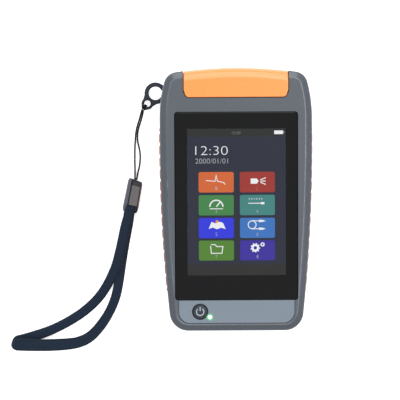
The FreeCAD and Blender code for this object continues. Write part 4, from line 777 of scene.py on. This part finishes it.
# the two ends of the webbing where they meet in the mouth of the buckle
def root_mesh():
    rows, ns = [], 28
    verts, uvs, faces = [], [], []
    stations = [(13.55, 4.2, 2.2, 4.6), (13.75, 4.9, 2.0, 5.2), (14.3, 5.1, 1.8, 5.5), (15.4, 5.3, 1.4, 5.62), (16.6, 5.4, 1.0, 5.62),
                (17.6, 5.4, 0.7, 5.58), (18.4, 5.3, 0.55, 5.5), (19.0, 5.1, 0.6, 5.4)]
    for along, width, lo_, hi_ in stations:
        shift_ = 0.35 - 0.12 * (along - 13.5)
        for j in range(ns):
            th = 2 * math.pi * j / ns
            c, s = math.cos(th), math.sin(th)
            x = math.copysign(abs(c) ** 0.45, c) * width / 2 + shift_
            z = (lo_ + hi_) / 2 + math.copysign(abs(s) ** 0.45, s) * (hi_ - lo_) / 2
            q = on_buckle(along, x + 0.02 * (along - 13.5) + 0.1, z)
            verts.append((q[0] * MM, q[1] * MM, q[2] * MM))
            uvs.append((along * MM, x * MM + 0.00315))
    n = len(stations)
    for i in range(n - 1):
        for j in range(ns):
            j2 = (j + 1) % ns
            faces.append((i * ns + j, i * ns + j2, (i + 1) * ns + j2, (i + 1) * ns + j))
    faces.append(tuple(range(ns))[::-1])
    faces.append(tuple((n - 1) * ns + j for j in range(ns)))
    return mesh_object("band_root", verts, faces, M["twill"], uvs)


root = root_mesh()
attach(root, "strap")


# hitch of the string round the small loop of the ring: two turns, a bar across them and two short tails
def sweep(points, radius, closed, lay=0.0024, plies=3, taper=0.0):
    ns = 16
    verts, uvs, faces = [], [], []
    n = len(points)
    nv, s_len = None, 0.0
    for i, p in enumerate(points):
        a = points[(i - 1) % n] if closed else points[max(0, i - 1)]
        b = points[(i + 1) % n] if closed else points[min(n - 1, i + 1)]
        t = (b - a).normalized()
        if nv is None:
            nv = Vector((0, 0, 1)) if abs(t.z) < 0.9 else Vector((1, 0, 0))
        nv = (nv - t * nv.dot(t)).normalized()
        bv = t.cross(nv)
        if i:
            s_len += (p - points[i - 1]).length
        r0 = radius
        if taper:
            f = i / (n - 1)
            r0 = radius * (1 - taper * max(0.0, abs(2 * f - 1) - 0.55) / 0.45)
        for j in range(ns):
            th = 2 * math.pi * j / ns
            r = r0 * (0.9 + 0.1 * math.cos(plies * (th - 2 * math.pi * s_len / lay)))
            verts.append(p + nv * (r * math.cos(th)) + bv * (r * math.sin(th)))
            uvs.append((s_len, j / ns))
    for i in range(n if closed else n - 1):
        i2 = (i + 1) % n
        for j in range(ns):
            j2 = (j + 1) % ns
            faces.append((i * ns + j, i * ns + j2, i2 * ns + j2, i2 * ns + j))
    if not closed:
        faces.append(tuple(range(ns))[::-1])
        faces.append(tuple((n - 1) * ns + j for j in range(ns)))
    return verts, faces, uvs


KA = math.radians(232)
KR = Vector((math.cos(KA), math.sin(KA), 0))
KT = Vector((-math.sin(KA), math.cos(KA), 0))
KC = Vector((-45.4, 49.25, 5.6)) + KR * 2.4
kv, kf, ku = [], [], []


def add_part(part):
    v_, f_, u_ = part
    base = len(kv)
    kv.extend(v_)
    ku.extend(u_)
    kf.extend(tuple(base + q for q in face) for face in f_)


def wrap(off, lean):
    pts = []
    for i in range(64):
        th = 2 * math.pi * i / 64
        c, s = math.cos(th), math.sin(th)
        x = math.copysign(abs(c) ** 0.7, c) * 1.22
        z = math.copysign(abs(s) ** 0.7, s) * 1.52
        pts.append((KC + KR * x + KT * (off + lean * c) + Vector((0, 0, z))) * MM)
    return pts


add_part(sweep(wrap(-0.46, -0.12), 0.00040, True))
add_part(sweep(wrap(0.46, 0.12), 0.00040, True))
bar = []
for i in range(41):
    u = i / 20 - 1
    th = KA + u * 0.60
    rim = 3.15 + 0.12 - 0.2 * u * u
    bar.append(Vector((-45.4 + rim * math.cos(th), 49.25 + rim * math.sin(th), 6.55 - 0.7 * u * u)) * MM)
add_part(sweep(bar, 0.00046, False, taper=0.6))
knot = mesh_object("hitch", kv, kf, M["yarn"], ku)
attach(knot, "strap")
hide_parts("strap_knot")

# ---------------------------------------------------------------------------
# Display content: generic clock digits, plain icons on coloured tiles
# ---------------------------------------------------------------------------
LCD_TOP = 33.21


def px(x, y):
    return ((x - 236.0) / 2, (199.4 - y) / 2)


def ui_rect(name, x0, y0, x1, y1, r, z0, z1, mat):
    a, b = px(x0, y1)
    c, d_ = px(x1, y0)
    return plate(name, rounded(a, b, c, d_, r, 6), z0, z1, mat)


ui_rect("lcd_field", 187.2, 128.2, 285.6, 275.8, 0.05, LCD_TOP, LCD_TOP + 0.02, glow("lcd_field", (58, 60, 72)))
ui_rect("lcd_bar", 187.2, 128.2, 285.6, 136.4, 0.05, LCD_TOP + 0.02, LCD_TOP + 0.03, glow("lcd_bar", (57, 59, 58)))
ui_rect("lcd_strip", 187.2, 264.4, 285.6, 275.8, 0.05, LCD_TOP + 0.02, LCD_TOP + 0.03, glow("lcd_strip", (59, 59, 59)))
WHITE = glow("lcd_white", (240, 242, 244), 1.0, 0.01)
SOFT = glow("lcd_soft", (178, 180, 184), 1.0, 0.01)
DIM = glow("lcd_dim", (120, 122, 126), 1.0, 0.01)
TILES = [("a", 0, 0, (214, 110, 66)), ("b", 0, 1, (163, 68, 62)), ("c", 1, 0, (78, 137, 84)), ("d", 1, 1, (77, 136, 132)),
         ("e", 2, 0, (64, 70, 224)), ("f", 2, 1, (72, 122, 194)), ("g", 3, 0, (93, 137, 64)), ("h", 3, 1, (72, 62, 160))]
COLS = [(198.3, 233.5), (239.6, 274.7)]
ROWS = [(171.5, 192.0), (194.6, 215.0), (217.6, 237.9), (240.3, 260.4)]
Z0, Z1, Z2, Z3 = LCD_TOP + 0.02, LCD_TOP + 0.04, LCD_TOP + 0.06, LCD_TOP + 0.08
for tag, row, col, rgb in TILES:
    ui_rect("tile_" + tag, COLS[col][0], ROWS[row][0], COLS[col][1], ROWS[row][1], 0.9, Z0, Z1, glow("tile_" + tag, rgb))


def icon(name, pts_px, mat=None, holes=()):
    return plate(name, [px(*p) for p in pts_px], Z1, Z2, mat or WHITE, holes=[[px(*p) for p in h] for h in holes])


def stroke_px(name, pts, w, mat=None):
    return plate(name, stroke([px(*p) for p in pts], w / 2), Z1, Z2, mat or WHITE)


# trace with one peak
stroke_px("icon_trace", [(205.5, 180.0), (214.8, 180.8), (215.9, 174.6), (217.1, 180.6), (223.6, 182.2), (224.8, 184.0)], 0.8)
# light beam: lamp and three rays
icon("icon_lamp", [(250.5, 178.2), (256.5, 178.2), (258.6, 180.8), (256.5, 183.4), (250.5, 183.4)])
for i, (dy0, dy1) in enumerate(((-1.2, -3.4), (0.0, 0.0), (1.2, 3.4))):
    stroke_px("icon_ray%d" % i, [(260.2, 180.8 + dy0), (265.6, 180.8 + dy1)], 0.9)
# dial: half ring with a needle
half = [(216.0 + 6.6 * math.cos(math.radians(a)), 206.4 - 6.6 * math.sin(math.radians(a))) for a in range(0, 181, 12)]
stroke_px("icon_dial", half, 1.3)
stroke_px("icon_needle", [(216.0, 206.2), (219.8, 201.8)], 1.2)
stroke_px("icon_dial_foot", [(209.4, 208.4), (222.6, 208.4)], 0.8)
# line with an end plug and marks
stroke_px("icon_line", [(248.0, 203.0), (260.6, 203.0)], 0.8)
icon("icon_plug", [(260.6, 201.9), (264.2, 201.9), (264.2, 204.1), (260.6, 204.1)])
for i in range(6):
    stroke_px("icon_mark%d" % i, [(249.0 + i * 2.5, 197.8), (249.0 + i * 2.5, 199.4)], 0.5)
# folded sheet with a pin
icon("icon_sheet", [(208.2, 228.6), (211.0, 221.6), (215.0, 223.0), (219.2, 221.4), (222.6, 222.6), (225.2, 228.8),
                    (220.6, 227.4), (216.6, 229.0), (212.2, 227.2)])
icon("icon_pin", [(216.5, 224.4), (214.9, 221.6), (215.4, 220.2), (216.6, 219.7), (217.8, 220.2), (218.3, 221.6)],
     glow("lcd_amber", (238, 150, 60)))
# coil with two leads
ring_o = [px(251.8 + 4.4 * math.cos(a * math.pi / 18), 224.6 + 4.4 * math.sin(a * math.pi / 18)) for a in range(36)]
ring_i = [px(251.8 + 3.5 * math.cos(a * math.pi / 18), 224.6 + 3.5 * math.sin(a * math.pi / 18)) for a in range(36)]
plate("icon_coil", ring_o, Z1, Z2, WHITE, holes=[ring_i])
stroke_px("icon_lead0", [(251.8, 220.4), (258.6, 220.8)], 0.8)
stroke_px("icon_lead1", [(251.8, 228.8), (258.6, 228.6)], 0.8)
icon("icon_tip0", [(258.6, 219.6), (262.4, 219.8), (265.6, 220.8), (262.4, 221.8), (258.6, 222.0)])
icon("icon_tip1", [(258.6, 227.4), (262.4, 227.6), (265.6, 228.6), (262.4, 229.6), (258.6, 229.8)])
# tray
stroke_px("icon_tray", [(210.0, 245.8), (210.8, 253.2), (221.4, 253.2), (222.4, 246.4), (216.2, 246.4), (214.6, 244.4),
                        (210.4, 244.4)], 0.9)


def gear(name, cx, cy, r, teeth, hole):
    pts = []
    for i in range(teeth * 4):
        a = 2 * math.pi * i / (teeth * 4)
        rr = r if (i % 4) in (0, 1) else r * 0.76
        pts.append(px(cx + rr * math.cos(a), cy + rr * math.sin(a)))
    hp = [px(cx + hole * math.cos(2 * math.pi * i / 20), cy + hole * math.sin(2 * math.pi * i / 20)) for i in range(20)]
    plate(name, pts, Z1, Z2, WHITE, holes=[hp])


gear("icon_gear0", 254.9, 247.8, 4.9, 9, 1.7)
gear("icon_gear1", 262.2, 244.5, 2.4, 8, 0.9)
# battery sign
icon("icon_cell", [(274.2, 130.3), (283.0, 130.3), (283.0, 133.9), (274.2, 133.9)])
icon("icon_cell_tip", [(283.3, 131.3), (284.1, 131.3), (284.1, 132.9), (283.3, 132.9)], SOFT)


def digits(name, body_text, x0, y_top, y_bottom, x1, mat, weight=0.0):
    """Plain digits, turned to mesh, scaled to a box given in photo pixels."""
    cu = bpy.data.curves.new(name, "FONT")
    cu.body = body_text
    cu.extrude = 0.01
    cu.offset = weight
    cu.resolution_u = 8
    o = bpy.data.objects.new(name, cu)
    scene.collection.objects.link(o)
    me = bpy.data.meshes.new_from_object(o)
    bpy.data.objects.remove(o)
    xs = [v.co.x for v in me.vertices]
    ys = [v.co.y for v in me.vertices]
    zs = [v.co.z for v in me.vertices]
    a, b = px(x0, y_bottom)
    c, d_ = px(x1, y_top)
    for v in me.vertices:
        v.co = Vector(((a + (v.co.x - min(xs)) / (max(xs) - min(xs)) * (c - a)) * MM,
                       (b + (v.co.y - min(ys)) / (max(ys) - min(ys)) * (d_ - b)) * MM,
                       (Z0 + (v.co.z - min(zs)) / max(1e-9, max(zs) - min(zs)) * 0.02) * MM))
    me.materials.clear()
    me.materials.append(mat)
    o = bpy.data.objects.new(name, me)
    scene.collection.objects.link(o)
    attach(o, "case")
    return o


digits("clock", "12:30", 195.2, 145.6, 154.5, 227.6, WHITE, -0.02)
digits("day", "2000/01/01", 195.2, 158.0, 163.0, 227.8, SOFT, -0.012)
digits("bar_clock", "12:30", 232.2, 131.0, 133.9, 240.4, DIM)
for _i in range(8):
    _r, _c = divmod(_i, 2)
    _x = (COLS[_c][0] + COLS[_c][1]) / 2
    digits("label%d" % (_i + 1), str(_i + 1), _x - 0.9, ROWS[_r][1] - 5.6, ROWS[_r][1] - 2.2, _x + 0.9, SOFT)

# black print round the display, on the inside of the glass, with its faint painted glow
frame_plate("glass_print_painted_glow", rounded(-30.6, -50.1, 30.6, 43.7, 1.4), rounded(-24.6, -38.0, 24.8, 35.6, 0.12), 33.402, 33.412,
            M["glass_print_painted_glow"])

# the touch glass: clear block with bevelled upper edges and a bonded lower face
def glass_mesh():
    lo_ring = rounded(-30.8, -50.3, 30.8, 43.9, 1.5, 10)
    mid_ring = lo_ring
    hi_ring = rounded(-30.5, -50.0, 30.5, 43.6, 1.2, 10)
    top_ring = rounded(-30.4, -49.9, 30.4, 43.5, 1.1, 10)
    n_ = len(lo_ring)
    rings = [(lo_ring, 33.42), (mid_ring, 34.5), (hi_ring, 34.77), (top_ring, 34.8)]
    verts = [(x * MM, y * MM, z * MM) for ring, z in rings for x, y in ring]
    faces = []
    for k_ in range(len(rings) - 1):
        for i in range(n_):
            j = (i + 1) % n_
            faces.append((k_ * n_ + i, k_ * n_ + j, (k_ + 1) * n_ + j, (k_ + 1) * n_ + i))
    # the clear window in the middle of the black border
    verts += [(x * MM, y * MM, 34.8 * MM) for x, y in rounded(-24.6, -38.0, 24.8, 35.6, 0.12, 10)]
    top_ = (len(rings) - 1) * n_
    for i in range(n_):
        j = (i + 1) % n_
        faces.append((top_ + i, top_ + j, top_ + n_ + j, top_ + n_ + i))
    faces.append(tuple(range(n_))[::-1])
    faces.append(tuple(top_ + n_ + i for i in range(n_)))
    me = bpy.data.meshes.new("glass_clear")
    me.from_pydata(verts, [], faces)
    me.materials.append(M["black_glass"])
    me.materials.append(M["glass_bond"])
    me.materials.append(M["touch_glass"])
    me.polygons[len(faces) - 2].material_index = 1
    me.polygons[len(faces) - 1].material_index = 2
    o = bpy.data.objects.new("glass_clear", me)
    scene.collection.objects.link(o)
    return o


glass = glass_mesh()
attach(glass, "case")
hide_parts("touch_glass")

# ---------------------------------------------------------------------------
# Power sign on the button, lamp
# ---------------------------------------------------------------------------
BX, BY = -18.4, -56.2
SIGN = plastic("sign_light", (146, 156, 164), 0.45, 0.02)
ring_pts = [(BX + 1.85 * math.sin(math.radians(a)), BY + 1.85 * math.cos(math.radians(a))) for a in range(38, 323, 8)]
for sign in (plate("power_ring", stroke(ring_pts, 0.5), 0.0, 0.04, SIGN, body="button"),
             plate("power_bar", rounded(BX - 0.25, BY + 0.4, BX + 0.25, BY + 2.4, 0.2, 4), 0.0, 0.04, SIGN, body="button")):
    # follow the dished top of the button
    for v in sign.data.vertices:
        r_ = math.hypot(v.co.x / MM - BX, v.co.y / MM - BY)
        v.co.z = (34.93 if v.co.z < 0.00002 else 34.99) * MM + 0.3 * r_ / 2.85 * MM
LX, LY = -13.5, -58.9
halo = mesh_object("lamp_halo", [((LX + 2.0 * a) * MM, (LY + 2.0 * b) * MM, z) for z in (0.034925, 0.034945) for a, b in ((-1, -1), (1, -1), (1, 1), (-1, 1))],
                   [(0, 1, 2, 3), (4, 5, 6, 7), (0, 1, 5, 4), (1, 2, 6, 5), (2, 3, 7, 6), (3, 0, 4, 7)], M["lamp_halo"],
                   uvs=[(0, 0), (1, 0), (1, 1), (0, 1)] * 2, smooth=False)
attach(halo, "case")

# ---------------------------------------------------------------------------
# Materials of the CAD pieces
# ---------------------------------------------------------------------------
LOOK = {
    "front_shell": "case_grey", "rear_shell": "case_back", "case_seal": "black_rubber", "side_grip_left": "grip_orange",
    "side_grip_right": "grip_orange", "touch_glass": "touch_glass", "glass_adhesive": "glass_print_painted_glow",
    "lcd_module": "black_plastic", "mid_frame": "steel", "key_panel": "panel_grey", "power_button": "button_grey",
    "switch_plunger": "black_plastic", "tact_switch": "black_plastic", "light_pipe": "lamp_core", "status_led": "lamp_core",
    "main_board": "board_green", "board_chips": "chip_black", "shield_can": "nickel", "buzzer": "black_plastic",
    "board_standoffs": "brass", "board_screws": "steel", "ribbon_connector": "black_plastic", "display_ribbon": "polyimide",
    "battery_pack": "cell_wrap", "battery_foam": "foam", "battery_leads": "wire_red", "battery_socket": "ceramic",
    "module_foam": "foam", "optical_module": "module_alu", "fibre_guide": "black_plastic", "fibre_pigtail": "fibre_yellow",
    "port_panel": "black_plastic", "panel_screws": "dark_steel", "test_port_adapter": "nickel", "ferrule_sleeve": "ceramic",
    "power_meter_adapter": "black_plastic", "fault_finder_adapter": "black_plastic", "photodiode": "nickel",
    "fault_finder_laser": "brass", "usb_socket": "nickel", "case_screws": "dark_steel", "threaded_inserts": "brass",
    "rear_feet": "black_rubber", "strap_post": "steel", "hinge_pin": "steel", "dust_cover": "cover_orange",
    "strap_ring": "ring_plastic", "strap_knot": "yarn", "strap_buckle": "buckle_grey",
}
for name, o in nodes.items():
    o.data.materials.clear()
    o.data.materials.append(M[LOOK.get(name, "twill")])

# ---------------------------------------------------------------------------
# Floor and light
# ---------------------------------------------------------------------------
floor = mesh_object("floor", [(-3, -3, -0.0002), (3, -3, -0.0002), (3, 3, -0.0002), (-3, 3, -0.0002)], [(0, 1, 2, 3)], M["floor"], smooth=False)


def area(name, loc, size, power, color=(1, 1, 1)):
    l = bpy.data.lights.new(name, "AREA")
    l.energy = power
    l.size = size
    l.color = color
    o = bpy.data.objects.new(name, l)
    scene.collection.objects.link(o)
    o.location = loc
    o.rotation_euler = (Vector((-0.02, 0, 0.02)) - Vector(loc)).to_track_quat("-Z", "Y").to_euler()
    return o


def panel(name, azimuth, tilt_, dist, wide, deep, power, color=(1, 1, 1)):
    """Soft panel on the dome round the part: its long side lies along the dome."""
    a_, b_ = math.radians(azimuth), math.radians(tilt_)
    loc = Vector((math.sin(b_) * math.cos(a_), math.sin(b_) * math.sin(a_), math.cos(b_))) * dist
    o = area(name, loc + Vector((-0.01, 0, 0.03)), deep, power, color)
    o.data.shape = "RECTANGLE"
    z_ = loc.normalized()
    x_ = Vector((-math.sin(a_), math.cos(a_), 0))
    y_ = z_.cross(x_)
    m_ = Matrix((x_, y_, z_)).transposed().to_4x4()
    m_.translation = o.location
    o.matrix_world = m_
    o.data.size = wide
    o.data.size_y = deep
    return o


panel("right", 24, 26, 1.2, 1.1, 0.26, 8.6, (1.0, 0.995, 0.985))
panel("top_left", 135, 26, 1.2, 0.6, 0.30, 2.9, (1.0, 0.99, 0.975))
panel("low", 255, 27, 1.2, 0.8, 0.30, 4.4, (0.97, 0.985, 1.0))
panel("top", 84, 36, 1.2, 0.5, 0.3, 2.0)
# this one stands low behind the upper end, and leaves the glass out, where it would stand as a white patch
brow = panel("brow", 92, 62, 1.25, 1.0, 0.6, 6.6)
unlit = bpy.data.collections.new("brow_leaves_out")
unlit.objects.link(glass)
unlit.collection_objects[0].light_linking.link_state = "EXCLUDE"
brow.light_linking.receiver_collection = unlit
world = bpy.data.worlds.new("studio")
scene.world = world
world.use_nodes = True
bg = world.node_tree.nodes["Background"]
bg.inputs["Color"].default_value = (0.93, 0.95, 1.0, 1)
bg.inputs["Strength"].default_value = 0.45
scene.view_settings.view_transform = "Standard"
scene.view_settings.look = "None"
